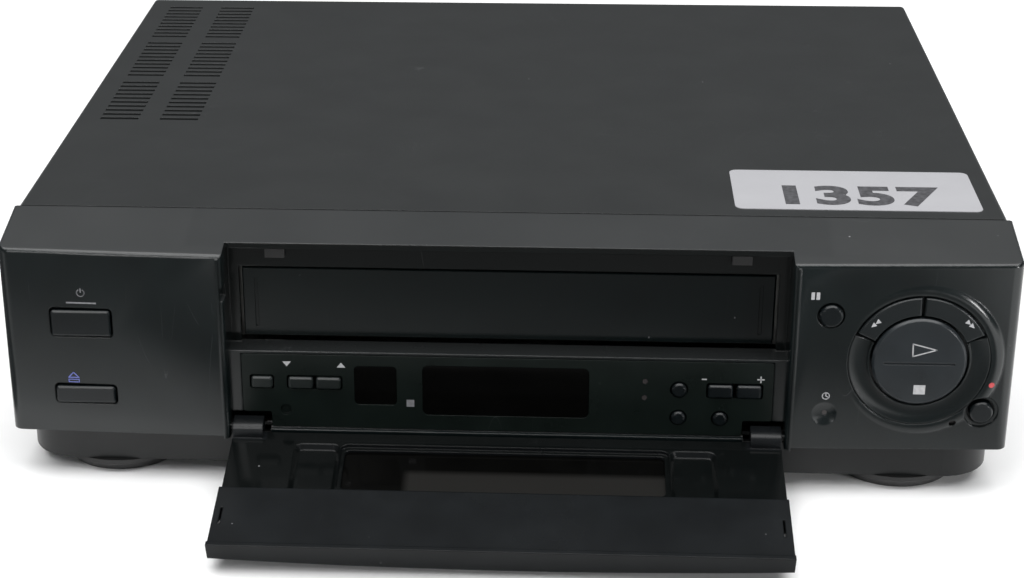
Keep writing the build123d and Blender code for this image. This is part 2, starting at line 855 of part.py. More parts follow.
def make_door_lug(side):
    """The arm at one lower corner of the door, with its hinge pin."""
    end_y = fascia_y(bay_width / 2)
    outer = bay_center + side * (bay_width / 2 - door_side_gap)
    inner = outer - side * lug_width
    low_x, high_x = min(outer, inner), max(outer, inner)
    lower_y = end_y + door_skin
    lug = block(low_x, high_x, end_y + 0.6, lower_y + lug_depth,
                door_axis_z - lug_drop, door_axis_z + lug_rise)
    crown = lug.edges().filter_by(Axis.X).sort_by(lambda e: e.center().Y + e.center().Z)[-1]
    lug = fillet(crown, lug_round)
    pin_end = outer + side * (door_side_gap + door_pin_length)
    lug += rod_x(door_pin_radius, door_axis_y, door_axis_z,
                 min(pin_end, outer - side), max(pin_end, outer - side))
    return lug


def make_door_window_shut():
    """The smoked pane, bowed with the door and let into it from the front."""
    middle_z = (door_window_bottom + door_window_top) / 2
    height = door_window_top - door_window_bottom - 2 * pane_gap
    form = standing(door_plan(door_pane_back() - pane_gap / 2), door_window_bottom, door_window_top)
    frame = RectangleRounded(door_window_width - 2 * pane_gap, height,
                             door_window_corner - pane_gap)
    return form & slab(frame, door_window_center, middle_z, -12, 12)


def opened(shape):
    """A door piece swung from shut to its open rest."""
    axis = Axis((0, door_axis_y, door_axis_z), (1, 0, 0))
    return shape.rotate(axis, door_open_angle)


# ---- Cassette flap ----

def make_cassette_flap():
    left = mouth_left + flap_side_gap
    right = mouth_right - flap_side_gap
    bottom = ledge_height + flap_bottom_gap
    top = mouth_top - flap_top_gap
    back = flap_front + flap_sheet
    flap = block(left, right, flap_front, back, bottom, top)
    flap = chamfer([e for e in flap.edges() if e.center().Y < flap_front + 0.1], 0.4)
    middle_z = (bottom + top) / 2
    for x in (left + flap_groove_inset, right - flap_groove_inset):
        groove = SlotOverall(flap_groove_height, flap_groove_width, rotation=90)
        flap -= slab(groove, x, middle_z, flap_front - 1, flap_front + 0.6)
    for side in (-1, 1):
        outer = left if side < 0 else right
        inner = outer - side * flap_arm_width
        front = bay_back + bay_wall + 0.3
        profile = [(back - 0.2, top - 3.0), (flap_axis_y + 2.0, top - 3.0),
                   (flap_axis_y + flap_hub_radius, flap_axis_z), (front, flap_axis_z),
                   (front, top + 0.3), (back - 0.2, top + 0.3)]
        flap += side_slab(profile, min(outer, inner), max(outer, inner))
        flap += rod_x(flap_hub_radius, flap_axis_y, flap_axis_z, min(outer, inner), max(outer, inner))
        reach = bay_center + side * (mouth_width / 2 + flap_ear_gap + flap_ear_sheet)
        flap += rod_x(flap_pin_radius, flap_axis_y, flap_axis_z,
                      min(outer - side, reach), max(outer - side, reach))
    return flap


# ---- Control panel ----

def panel_outline():
    """The panel as seen from the front, notched at its lower corners for the door's lugs."""
    low = panel_bottom
    notch_z = hinge_pocket_top
    points = [(panel_left + panel_notch, low), (panel_right - panel_notch, low),
              (panel_right - panel_notch, notch_z), (panel_right, notch_z),
              (panel_right, panel_top), (panel_left, panel_top),
              (panel_left, notch_z), (panel_left + panel_notch, notch_z)]
    face = make_face(Polyline(*points, close=True))
    return fillet(face.vertices(), 0.8)


def panel_keys():
    return (auto_tracking_key, tracking_down_key, tracking_up_key, program_down_key, program_up_key)


def panel_buttons():
    return (preset_button, search_button, erase_button)


def make_control_panel():
    step = lower_frame_y + panel_sheet
    panel = slab(panel_outline(), 0, 0, panel_front, step)
    flange_top = ledge_height - ledge_sheet - 0.6
    panel += block(panel_left - 2, panel_right + 2, step, panel_back,
                   hinge_pocket_top + 1, flange_top)
    panel += block(panel_left + panel_notch + 4, panel_right - panel_notch - 4, step, panel_back,
                   panel_bottom + 1, hinge_pocket_top + 2)
    deep = panel_back + 3
    x, z = display_center
    panel -= slab(RectangleRounded(*display_size, display_corner), x, z, 0, deep)
    x, z = sensor_center
    panel -= slab(RectangleRounded(*sensor_size, sensor_corner), x, z, 0, deep)
    panel -= key_mouth(*auto_tracking_key, deep)
    for pair in ((tracking_down_key, tracking_up_key), (program_down_key, program_up_key)):
        x = (pair[0][0] + pair[1][0]) / 2
        width = pair[1][0] - pair[0][0] + pair[0][2]
        panel -= key_mouth(x, pair[0][1], width, pair[0][3], deep)
    for x, z, diameter in panel_buttons():
        panel -= rod_y(diameter / 2 + key_gap * 0.7, x, z, 0, deep)
    for x, z, radius in (program_lamp, search_lamp):
        panel -= rod_y(radius, x, z, 0, deep)
    panel -= rod_y(pinhole_radius, *pinhole, 0, panel_front + 1.2)
    return panel


def key_mouth(x, z, width, height, deep):
    mouth = RectangleRounded(width + 1.5 * key_gap, height + 1.5 * key_gap, key_corner)
    return slab(mouth, x, z, 0, deep)


def make_display_window():
    x, z = display_center
    width, height = display_size
    pane = RectangleRounded(width - 2 * pane_gap, height - 2 * pane_gap, display_corner - pane_gap)
    window = slab(pane, x, z, panel_front + 0.2, panel_back)
    rim = Rectangle(width + 3, height + 1)
    return window + slab(rim, x, z, panel_back, panel_back + pane_flange)


def make_sensor_window():
    x, z = sensor_center
    width, height = sensor_size
    pane = RectangleRounded(width - 2 * pane_gap, height - 2 * pane_gap, sensor_corner - pane_gap)
    window = slab(pane, x, z, panel_front + 0.3, panel_back)
    rim = Rectangle(width + 3, height + 3)
    return window + slab(rim, x, z, panel_back, panel_back + pane_flange)


# ---- Keys ----

def finish_key(cap, x, z, back_of_wall, flange):
    """Add the retaining flange behind the wall and the stem that reaches the switch."""
    front = back_of_wall + flange_gap
    key = cap + slab(flange, x, z, front, front + flange_sheet)
    return key + slab(Rectangle(stem_size, stem_size), x, z, front, stem_end)


def oblong_key(place, face_y, wall_back, proud):
    x, z, width, height = place
    cap = slab(RectangleRounded(width, height, key_corner), x, z, face_y - proud,
               wall_back + flange_gap + 0.1)
    front = [e for e in cap.edges() if e.center().Y < face_y - proud + 0.01]
    cap = chamfer(front, key_edge)
    flange = Rectangle(width + key_gap, height + 2 * (key_gap + flange_rim))
    return finish_key(cap, x, z, wall_back, flange)


def round_button(place, face_y, wall_back, proud):
    x, z, diameter = place
    cap = rod_y(diameter / 2, x, z, face_y - proud, wall_back + flange_gap + 0.1)
    cap = chamfer(cap.edges().sort_by(Axis.Y)[0], key_edge)
    return finish_key(cap, x, z, wall_back, Circle(diameter / 2 + key_gap + flange_rim * 0.6))


def wall_back_at(x, reach):
    """The deepest point of the fascia's inner face within reach of x."""
    return fascia_y(abs(x) + reach) + fascia_wall


def make_fascia_key(place, proud):
    x, width = place[0], place[2]
    builder = oblong_key if len(place) == 4 else round_button
    return builder(place, fascia_y(x), wall_back_at(x, width / 2 + 1), proud)


def make_panel_key(place):
    builder = oblong_key if len(place) == 4 else round_button
    return builder(place, panel_front, panel_back, small_key_proud)


# ---- Transport dial ----

def ring_sector(angle, span, inner, outer):
    """A ring sector as seen from the front, about the dial's centre."""
    ring = Circle(outer) - Circle(inner)
    reach = 3 * outer
    start, end = radians(angle - span / 2), radians(angle + span / 2)
    middle = radians(angle)
    wedge = make_face(Polyline((0, 0), (reach * cos(start), reach * sin(start)),
                               (reach * cos(middle), reach * sin(middle)),
                               (reach * cos(end), reach * sin(end)), close=True))
    return ring & wedge


def make_ring_key(angle):
    face = fascia_y(dial_x)
    floor = face + dial_pocket_depth
    inset = degrees(ring_split / 2 / ring_inner_radius)
    sector = ring_sector(angle, ring_key_span - 2 * inset, ring_inner_radius, ring_outer_radius)
    key = slab(sector, dial_x, dial_z, face - ring_key_proud, floor - key_travel * 1.2)
    front = [e for e in key.edges() if e.center().Y < face - ring_key_proud + 0.01]
    key = chamfer(front, 0.4)
    x, z = dial_point(angle, (ring_inner_radius + ring_outer_radius) / 2)
    return key + slab(Rectangle(stem_size, stem_size), x, z, floor - key_travel * 1.2, stem_end)


def make_dial_bezel():
    """The fixed lower part of the ring: a dish that falls in to a thin raised lip."""
    inner, outer = ring_inner_radius, dial_pocket_radius - 0.2
    front, back = -bezel_proud, dial_pocket_depth
    dish = [
        Polyline((inner + bezel_lip, bezel_hollow), (inner + bezel_lip, front), (inner, front),
                 (inner, back), (outer, back), (outer, front)),
        ThreePointArc((inner + bezel_lip, bezel_hollow), ((inner + outer) / 2, bezel_hollow * 0.8),
                      (outer, front)),
    ]
    bezel = Pos(dial_x, fascia_y(dial_x), dial_z) * revolve(make_face(dish), Axis.Y)
    inset = degrees(ring_split / ring_inner_radius)
    gap = ring_sector(90, 2 * ring_key_span + inset, inner - 1, outer + 1)
    return bezel - slab(gap, dial_x, dial_z, fascia_y(dial_x) - 2, dial_floor() + 1)


def make_dial_rim():
    """The soft raised rim round the dial's pocket, which fades into the fascia's face."""
    inner = dial_pocket_radius
    crest = inner + rim_crest
    outer = inner + rim_width
    profile = [
        Spline((inner, -rim_height * 0.55), (crest, -rim_height), (outer, rim_fade)),
        Polyline((outer, rim_fade), (inner - 1, rim_fade), (inner - 1, -rim_height * 0.55),
                 (inner, -rim_height * 0.55)),
    ]
    return Pos(dial_x, fascia_y(dial_x), dial_z) * revolve(make_face(profile), Axis.Y)


def make_play_stop_rocker():
    """The round play and stop key, which rocks about a level axis behind its middle."""
    face = fascia_y(dial_x)
    front = face - rocker_proud
    disc = rod_y(rocker_radius, dial_x, dial_z, front, face + dial_pocket_depth - 1.6)
    disc = chamfer(disc.edges().sort_by(Axis.Y)[0], rocker_edge)
    groove = slab(SlotOverall(1.5 * rocker_radius, rocker_groove), dial_x, dial_z - 0.6,
                  front - 1, front + 0.5)
    disc -= groove
    axis_y = face + rocker_axis_depth
    disc += block(dial_x - 3, dial_x + 3, face + dial_pocket_depth - 1.7, axis_y + 1.6,
                  dial_z - 2.4, dial_z + 2.4)
    disc += rod_x(rocker_pin_radius, axis_y, dial_z, dial_x - rocker_pin_reach,
                  dial_x + rocker_pin_reach)
    for side in (-1, 1):
        z = dial_z + side * rocker_stem_offset
        disc += slab(Rectangle(stem_size, stem_size), dial_x, z, face + dial_pocket_depth - 1.7,
                     plunger_y - rocker_stem_gap)
    return disc


def make_rocker_bracket():
    """The bracket behind the fascia that carries the rocker's pin."""
    axis_y = fascia_y(dial_x) + rocker_axis_depth
    wall = dial_floor() + dial_floor_sheet
    bracket = Part()
    for side in (-1, 1):
        near = side * (rocker_pin_reach - 2.0)
        far = side * (rocker_pin_reach + 2.2)
        foot = side * (rocker_hole_radius + 2.5)
        bracket += block(dial_x + min(near, far), dial_x + max(near, far), wall - 0.1, axis_y + 3.0,
                         dial_z - 3.0, dial_z + 3.0)
        bracket += block(dial_x + min(near, foot), dial_x + max(near, foot), wall - 0.1, wall + 1.6,
                         dial_z - 3.0, dial_z + 3.0)
    bracket -= rod_x(rocker_pin_radius + running_gap, axis_y, dial_z,
                     dial_x - rocker_pin_reach - 0.3, dial_x + rocker_pin_reach + 0.3)
    return bracket


# ---- Lamps and boards ----

def make_indicator_lamps():
    lamps = Part()
    for x, z, radius in (program_lamp, search_lamp):
        lamps += rod_y(radius - 0.05, x, z, panel_front + 0.1, front_board_y)
    for x, z, radius in (timer_lamp, record_lamp):
        lamps += rod_y(radius - 0.05, x, z, fascia_y(x) + timer_dish_depth, front_board_y)
    return lamps


def front_board_outline():
    half = fascia_half - front_board_inset
    low = fascia_bottom + front_board_rise
    middle = panel_top - front_board_drop
    high = mouth_top - front_board_drop
    inner = bay_width / 2 + front_board_room
    points = [(-half, low), (half, low), (half, high), (bay_center + inner, high),
              (bay_center + inner, middle), (bay_center - inner, middle),
              (bay_center - inner, high), (-half, high)]
    return make_face(Polyline(*points, close=True))


def make_front_board():
    return slab(front_board_outline(), 0, 0, front_board_y, front_board_y + board_sheet)


def switch_places():
    places = [(key[0], key[1]) for key in (power_key, eject_key, pause_button, record_button)]
    places += [(key[0], key[1]) for key in panel_keys() + panel_buttons()]
    middle = (ring_inner_radius + ring_outer_radius) / 2
    places += [dial_point(angle, middle) for angle in ring_key_angles()]
    places += [(dial_x, dial_z + side * rocker_stem_offset) for side in (-1, 1)]
    return places


def make_key_switches():
    switches = Part()
    for x, z in switch_places():
        switches += slab(Rectangle(switch_body, switch_body), x, z,
                         front_board_y - switch_depth, front_board_y)
        switches += slab(Rectangle(stem_size, stem_size), x, z, plunger_y,
                         front_board_y - switch_depth)
    return switches


def make_display_tube():
    x, z = display_center
    width, height = display_size
    front = panel_back + pane_flange + 0.3
    return slab(Rectangle(width - 4, height - 3), x, z, front, front_board_y)


# ---- Rear ----

def make_rear_panel():
    y0 = rear_face - rear_sheet
    half = cover_half - cover_sheet - 0.4
    panel = block(-half, half, y0, rear_face, cover_side_bottom, case_height - cover_sheet - 0.3)
    panel = fillet(panel.edges().filter_by(Axis.Y).sort_by(Axis.Z)[-2:], cover_bend)
    x, z = scart_center
    panel -= slab(Rectangle(scart_block[0] + 0.4, scart_block[1] + 0.4), x, z, y0 - 1, cover_back)
    for x, z in (aerial_in, aerial_out):
        panel -= rod_y(aerial_radius + 0.4, x, z, y0 - 1, cover_back)
    x, z = inlet_center
    panel -= slab(Rectangle(inlet_body[0] + 0.4, inlet_body[1] + 0.4), x, z, y0 - 1, cover_back)
    for x in rear_screw_xs():
        panel -= rod_y(screw_radius + 0.05, x, rear_screw_z, y0 - 1, cover_back)
    return panel


def make_mains_inlet():
    x, z = inlet_center
    back = rear_face + 1.0
    body = slab(RectangleRounded(*inlet_body, 1.5), x, z, back - inlet_depth - 4, back)
    body -= slab(SlotOverall(inlet_recess[0], inlet_recess[1]), x, z, back - inlet_depth, back + 1)
    for side in (-1, 1):
        body += rod_y(inlet_pin_radius, x + side * inlet_pitch / 2, z, back - inlet_depth - 1, back - 2)
    return body


def make_scart_socket():
    x, z = scart_center
    back = rear_face + 1.2
    body = slab(Rectangle(*scart_block), x, z, back - 14, back)
    width, height = scart_shell
    skew = height * 0.5
    outline = Polyline((-width / 2, -height / 2), (width / 2, -height / 2),
                       (width / 2, height / 2 - skew), (width / 2 - skew, height / 2),
                       (-width / 2, height / 2), close=True)
    trench = make_face(outline)
    core = Rectangle(width - 5, height - 5.4)
    body -= slab(trench - core, x, z, back - 9, back + 1)
    for row in (-1, 1):
        for index in range(10):
            contact_x = x - (width - 12) / 2 + index * (width - 12) / 9
            body -= block(contact_x - 0.5, contact_x + 0.5, back - 7, back + 1,
                          z + row * 1.9 - 0.9, z + row * 1.9 + 0.9)
    return body


def make_aerial_sockets():
    """The aerial input and output, one with a sleeve for a pin and one with a pin."""
    front = rear_face - socket_inner
    back = rear_face + socket_reach
    wall = 0.9
    x, z = aerial_in
    sleeve = rod_y(aerial_radius, x, z, front, back)
    sleeve -= rod_y(aerial_radius - wall, x, z, front + 3, back + 1)
    sleeve += rod_y(aerial_pin_radius + 0.6, x, z, front + 2, back - 2)
    sleeve -= rod_y(aerial_pin_radius, x, z, front + 3, back)
    x, z = aerial_out
    pin = rod_y(aerial_radius, x, z, front, back)
    pin -= rod_y(aerial_radius - wall, x, z, front + 3, back + 1)
    return sleeve + pin + rod_y(aerial_pin_radius, x, z, front + 2, back)


def make_tuner_module():
    """The screened can behind the aerial sockets, on a smaller foot that stands on the board."""
    x = aerial_in[0]
    width, depth = tuner_size
    z_low = aerial_out[1] - tuner_margin
    back = rear_face - socket_inner
    can = block(x - width / 2, x + width / 2, back - depth, back, z_low, aerial_in[1] + tuner_margin)
    reach = width / 2 - tuner_foot_inset
    return can + block(x - reach, x + reach, back - depth + tuner_foot_inset,
                       back - tuner_foot_inset, board_top, z_low)


def make_main_board():
    board = block(board_inner, board_outer, board_front, board_back, board_z, board_top)
    for across, along, size in chips:
        chip = Box(size, size, chip_height, align=(Align.CENTER, Align.CENTER, Align.MIN))
        board += Pos(board_middle + across, board_front + along, board_top) * chip
    for across, along in capacitors:
        board += rod_z(capacitor_radius, board_middle + across, board_front + along, board_top,
                       board_top + capacitor_height)
    return board


def make_power_board():
    board = block(-board_outer, -board_inner, board_front, board_back, board_z, board_top)
    for across, along, radius, height in power_capacitors:
        board += rod_z(radius, across - board_middle, board_front + along, board_top,
                       board_top + height)
    x = heat_sink_place[0] - board_middle
    y = board_front + heat_sink_place[1]
    width = (fin_count - 1) * fin_pitch + fin_sheet
    board += block(x, x + width, y, y + heat_sink_length, board_top, board_top + heat_sink_base)
    for index in range(fin_count):
        fin = x + index * fin_pitch
        board += block(fin, fin + fin_sheet, y, y + heat_sink_length, board_top,
                       board_top + heat_sink_height)
    return board


def make_power_transformer():
    x = -board_middle
    y = board_front + transformer_inset
    half = transformer_core / 2
    top = board_top + transformer_height
    core = block(x - half, x + half, y - half, y + half, board_top, top)
    wide, long = coil_size
    coil = block(x - wide / 2, x + wide / 2, y - long / 2, y + long / 2,
                 board_top + coil_margin, top - coil_margin)
    return core + fillet(coil.edges().filter_by(Axis.Z), coil_corner)


# ---- Cassette deck ----

def make_deck_plate():
    z0, z1 = deck_plate_z, deck_top
    plate = block(bay_center - deck_half, bay_center + deck_half, deck_front, deck_back, z0, z1)
    plate -= rod_z(capstan_radius + 4, bay_center + capstan_x, capstan_y, z0 - 1, z1 + 1)
    for side in (-1, 1):
        track = SlotArc(guide_track_arc(side), guide_track_width)
        plate -= standing(Pos(bay_center, drum_y) * track, z0 - 1, z1 + 1)
        x = bay_center + side * reel_spacing / 2
        plate += rod_z(6.0, x, reel_axis_y, z1 - 0.5, z1 + reel_hub_height)
        plate += rod_z(reel_shaft_radius, x, reel_axis_y, z1, reel_flange_z + reel_spline_height)
    for x, y in deck_posts():
        plate -= rod_z(1.6, x, y, z0 - 1, z1 + 1)
    pivot_x, pivot_y = pinch_pivot()
    return plate + rod_z(pinch_pivot_radius, pivot_x, pivot_y, z0, z1 + pinch_arm_lift + 4.5)


def guide_track_arc(side):
    """The path of one tape guide round the drum, seen from above about the drum's centre."""
    start = guide_track_start if side > 0 else 540 - guide_track_start - guide_track_span
    return CenterArc((0, 0), guide_track_radius, start, guide_track_span)


def make_tape_guide(side):
    """A sliding base with its tape guide post and a slanted post, at the start of its track."""
    angle = guide_track_start if side > 0 else 540 - guide_track_start
    x = bay_center + guide_track_radius * cos(radians(angle))
    y = drum_y + guide_track_radius * sin(radians(angle))
    foot = deck_top + 0.2
    base = rod_z(guide_base_radius, x, y, foot, foot + 3)
    base += rod_z(guide_track_width / 2 - 0.3, x, y, deck_plate_z - 1, foot + 1)
    base += rod_z(1.7, x, y, foot + 2, foot + 22)
    for flange in (foot + 3, foot + 20):
        base += rod_z(2.8, x, y, flange, flange + 2)
    return base


def make_guide_plates():
    """The two upright side plates with the L-shaped slots that lead the cassette holder."""
    plates = Part()
    z0 = deck_top
    z1 = holder_top_z + 1.6
    for side in (-1, 1):
        near = bay_center + side * guide_x
        far = near + side * guide_plate_sheet
        low_x, high_x = min(near, far), max(near, far)
        plate = block(low_x, high_x, deck_front, guide_plate_back, z0, z1)
        width = 2 * holder_pin_radius + guide_slot_play
        for pin_y in holder_pin_ys():
            end_y = pin_y + holder_travel
            plate -= block(low_x - 1, high_x + 1, pin_y - width / 2, end_y + width / 2,
                           holder_pin_z - width / 2, holder_pin_z + width / 2)
            plate -= block(low_x - 1, high_x + 1, end_y - width / 2, end_y + width / 2,
                           holder_pin_z - guide_drop - width / 2, holder_pin_z)
        plates += plate
    bar = block(bay_center - guide_x - 0.1, bay_center + guide_x + 0.1, guide_plate_back - 8,
                guide_plate_back - 6.8, z1 - 9, z1)
    return plates + bar


def holder_pin_ys():
    return (holder_front + holder_pin_inset, holder_front + cassette_depth - holder_pin_inset)


def make_cassette_holder():
    back = holder_front + cassette_depth + 1
    low = holder_ledge_z - holder_sheet
    holder = block(bay_center - holder_inner_half - 0.1, bay_center + holder_inner_half + 0.1,
                   holder_top_front, back, holder_top_z, holder_top_z + holder_sheet)
    holder -= block(bay_center - 60, bay_center + 60, holder_top_front + 14, back - 16,
                    holder_top_z - 1, holder_top_z + 2)
    for side in (-1, 1):
        inner = bay_center + side * holder_inner_half
        outer = inner + side * holder_sheet
        holder += block(min(inner, outer), max(inner, outer), holder_front, back,
                        low, holder_top_z + holder_sheet)
        ledge = inner - side * holder_ledge_width
        holder += block(min(inner, ledge), max(inner, ledge), holder_front, back,
                        low, holder_ledge_z)
        reach = bay_center + side * (guide_x + guide_plate_sheet + 1.0)
        for y in holder_pin_ys():
            holder += rod_x(holder_pin_radius, y, holder_pin_z,
                            min(inner + side * 0.5, reach), max(inner + side * 0.5, reach))
    return holder


def make_reel(side):
    """A reel table with its splined spindle, which reaches up into a cassette hub."""
    x = bay_center + side * reel_spacing / 2
    z1 = deck_top + reel_hub_height
    reel = rod_z(reel_radius, x, reel_axis_y, reel_flange_z, reel_flange_z + 2)
    reel += rod_z(8.0, x, reel_axis_y, z1 + 0.3, reel_flange_z + 4)
    reel += rod_z(reel_spline_radius, x, reel_axis_y, reel_flange_z + 4,
                  reel_flange_z + 4 + reel_spline_height)
    for index in range(3):
        spline = block(0, reel_spline_radius + 2.4, -0.8, 0.8, 0, reel_spline_height - 2)
        reel += Pos(x, reel_axis_y, reel_flange_z + 4) * Rot(0, 0, 120 * index + 30) * spline
    reel -= rod_z(reel_shaft_radius + running_gap, x, reel_axis_y, z1 - 1,
                  reel_flange_z + reel_spline_height + 2)
    return reel


def tilted(shape):
    """A drum piece that is modelled upright, leant towards the take-up side."""
    axis = Axis((bay_center, drum_y, drum_base_z), (1, 0, 0))
    return shape.rotate(axis, drum_tilt)


def make_lower_drum():
    z0, z1 = drum_base_z + 3, drum_split_z
    drum = rod_z(drum_radius, bay_center, drum_y, z0, z1)
    drum -= rod_z(drum_radius - 4, bay_center, drum_y, z1 - 6, z1 + 1)
    drum += rod_z(7.0, bay_center, drum_y, z0, z1 - 1.5)
    drum += rod_z(drum_shaft_radius, bay_center, drum_y, z0, drum_top_z - 2)
    drum = tilted(drum)
    return drum + block(bay_center - 22, bay_center + 22, drum_y - 20, drum_y + 20,
                        deck_top, drum_base_z + 6)


def make_upper_drum():
    z0, z1 = drum_split_z + drum_gap, drum_top_z
    drum = rod_z(drum_radius, bay_center, drum_y, z0, z1)
    drum -= rod_z(drum_radius - 5, bay_center, drum_y, z1 - 5, z1 + 1)
    drum += rod_z(9.0, bay_center, drum_y, z1 - 6, z1 + 3)
    drum -= rod_z(drum_shaft_radius + running_gap, bay_center, drum_y, z0 - 1, z1 + 4)
    for angle in (0, 180):
        head = block(drum_radius - 5.5, drum_radius + 0.05, -1.5, 1.5, -0.3, 1.2)
        drum += Pos(bay_center, drum_y, z0 + 0.3) * Rot(0, 0, angle) * head
    return tilted(drum)


def make_capstan():
    x = bay_center + capstan_x
    capstan = rod_z(capstan_radius, x, capstan_y, flywheel_z, capstan_top)
    wheel = rod_z(flywheel_radius, x, capstan_y, flywheel_z, flywheel_z + flywheel_height)
    return capstan + wheel


def make_capstan_bearing():
    x = bay_center + capstan_x
    z0 = flywheel_z + flywheel_height + 0.3
    sleeve = rod_z(4.5, x, capstan_y, z0, deck_top + pinch_arm_lift - 0.5)
    sleeve += rod_z(7.0, x, capstan_y, deck_top, deck_top + 2)
    return sleeve - rod_z(capstan_radius + running_gap, x, capstan_y, z0 - 1, capstan_top)


def pinch_center():
    return (bay_center + capstan_x + capstan_radius + pinch_radius + pinch_open_gap, capstan_y - 6)


def pinch_pivot():
    x, y = pinch_center()
    return (x, y + pinch_arm_length)


def make_pinch_arm():
    x, y = pinch_center()
    pivot_x, pivot_y = pinch_pivot()
    z0 = deck_top + pinch_arm_lift
    z1 = z0 + pinch_arm_sheet
    arm = block(x - 3, x + 3, y, pivot_y, z0, z1)
    arm += rod_z(4.5, x, y, z0, z1)
    arm += rod_z(5.0, pivot_x, pivot_y, z0 - pinch_arm_lift + 0.4, z1 + 1)
    arm -= rod_z(pinch_pivot_radius + running_gap, pivot_x, pivot_y, z0 - 6, z1 + 3)
    return arm + rod_z(pinch_axle_radius, x, y, z1 - 0.1, z1 + pinch_roller_height + 2)


def make_pinch_roller():
    x, y = pinch_center()
    z0 = deck_top + pinch_arm_lift + pinch_arm_sheet + 0.3
    roller = rod_z(pinch_radius, x, y, z0, z0 + pinch_roller_height)
    return roller - rod_z(pinch_axle_radius + running_gap, x, y, z0 - 1, z0 + 14)


def make_loading_motor():
    """The motor that moves the holder and the tape guides, on a bracket at the deck's corner."""
    x = bay_center - deck_half + motor_inset
    y = deck_back - motor_inset
    top = deck_top + motor_base
    motor = rod_y(motor_radius, x, deck_top + motor_radius + 1, y - motor_length / 2,
                  y + motor_length / 2)
    motor += rod_y(motor_shaft_radius, x, deck_top + motor_radius + 1, y - motor_length / 2 - 6, y)
    return motor + block(x - motor_radius - 1, x + motor_radius + 1, y - motor_length / 2 + 1,
                         y + motor_length / 2 - 1, deck_top, top)


def make_tape_heads():
    """The full erase head and the audio and control head, on their posts."""
    width, depth, height = head_size
    post_top = deck_top + head_post_height
    heads = Part()
    for x, y in ((bay_center - drum_radius - head_gap, drum_y - head_inset),
                 (bay_center + capstan_x, capstan_y - head_capstan_gap)):
        heads += rod_z(head_post_radius, x, y, deck_top, post_top)
        heads += block(x - width / 2, x + width / 2, y - depth / 2, y + depth / 2,
                       post_top, post_top + height)
    return heads


# ---- Label ----

def make_inventory_label():
    label = RectangleRounded(*label_size, label_corner)
    return standing(Pos(*label_center) * label, case_height, case_height + label_sheet)


def make_door_buffers():
    """The two rubber pads on the bay's back wall that the shut door's lip rests against."""
    width, depth, height = buffer_size
    pad = Box(width, depth, height, align=(Align.CENTER, Align.MAX, Align.MAX))
    return Part() + [Pos(bay_center + side * buffer_spacing / 2, bay_back, bay_ceiling) * pad
                     for side in (-1, 1)]


def build():
    nodes = {
        "top_cover": make_top_cover(),
        "front_fascia": make_front_fascia() + make_rocker_bracket(),
        "base_tray": make_base_tray(),
        "rear_panel": make_rear_panel(),
        "cover_screws": make_cover_screws(),
        "dial_bezel": make_dial_bezel(),
        "control_panel": make_control_panel(),
        "display_window": make_display_window(),
        "sensor_window": make_sensor_window(),
        "cassette_flap": make_cassette_flap(),
        "front_door": opened(make_front_door_shut()),
        "door_window": opened(make_door_window_shut()),
        "door_buffers": make_door_buffers(),
        "power_key": make_fascia_key(power_key, key_proud),
        "eject_key": make_fascia_key(eject_key, key_proud),
        "pause_button": make_fascia_key(pause_button, key_proud),
        "record_button": make_fascia_key(record_button, key_proud),
        "auto_tracking_key": make_panel_key(auto_tracking_key),
        "tracking_down_key": make_panel_key(tracking_down_key),
        "tracking_up_key": make_panel_key(tracking_up_key),
        "program_down_key": make_panel_key(program_down_key),
        "program_up_key": make_panel_key(program_up_key),
        "preset_button": make_panel_key(preset_button),
        "search_button": make_panel_key(search_button),
        "erase_button": make_panel_key(erase_button),
        "rewind_key": make_ring_key(ring_key_angles()[0]),
        "fast_forward_key": make_ring_key(ring_key_angles()[1]),
        "play_stop_rocker": make_play_stop_rocker(),
        "indicator_lamps": make_indicator_lamps(),
        "inventory_label": make_inventory_label(),
        "front_board": make_front_board(),
        "key_switches": make_key_switches(),
        "display_tube": make_display_tube(),
        "mains_inlet": make_mains_inlet(),
        "scart_socket": make_scart_socket(),
        "aerial_sockets": make_aerial_sockets(),
        "tuner_module": make_tuner_module(),
        "main_board": make_main_board(),
        "power_board": make_power_board(),
        "power_transformer": make_power_transformer(),
        "deck_plate": make_deck_plate(),
        "guide_plates": make_guide_plates(),
        "cassette_holder": make_cassette_holder(),
        "supply_reel": make_reel(-1),
        "takeup_reel": make_reel(1),
        "lower_drum": make_lower_drum(),
        "upper_drum": make_upper_drum(),
        "supply_guide": make_tape_guide(-1),
        "takeup_guide": make_tape_guide(1),
        "capstan": make_capstan(),
        "capstan_bearing": make_capstan_bearing(),
        "pinch_arm": make_pinch_arm(),
        "pinch_roller": make_pinch_roller(),
        "loading_motor": make_loading_motor(),
        "tape_heads": make_tape_heads(),
    }
    for name, place in foot_places().items():
        nodes[name] = Pos(*place) * make_foot()
    return nodes


nodes = build()
whole = Compound([shape for node in nodes.values() for shape in node.solids()]).bounding_box()
origin_y = (whole.min.Y + whole.max.Y) / 2
os.makedirs("parts", exist_ok=True)
for name, shape in nodes.items():
    export_step(Pos(0, -origin_y, 0) * shape, f"parts/{name}.step")
print("nodes", len(nodes), "origin_y", round(origin_y, 4))
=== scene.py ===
import json
import math

import bmesh
import bpy
from mathutils import Matrix, Vector


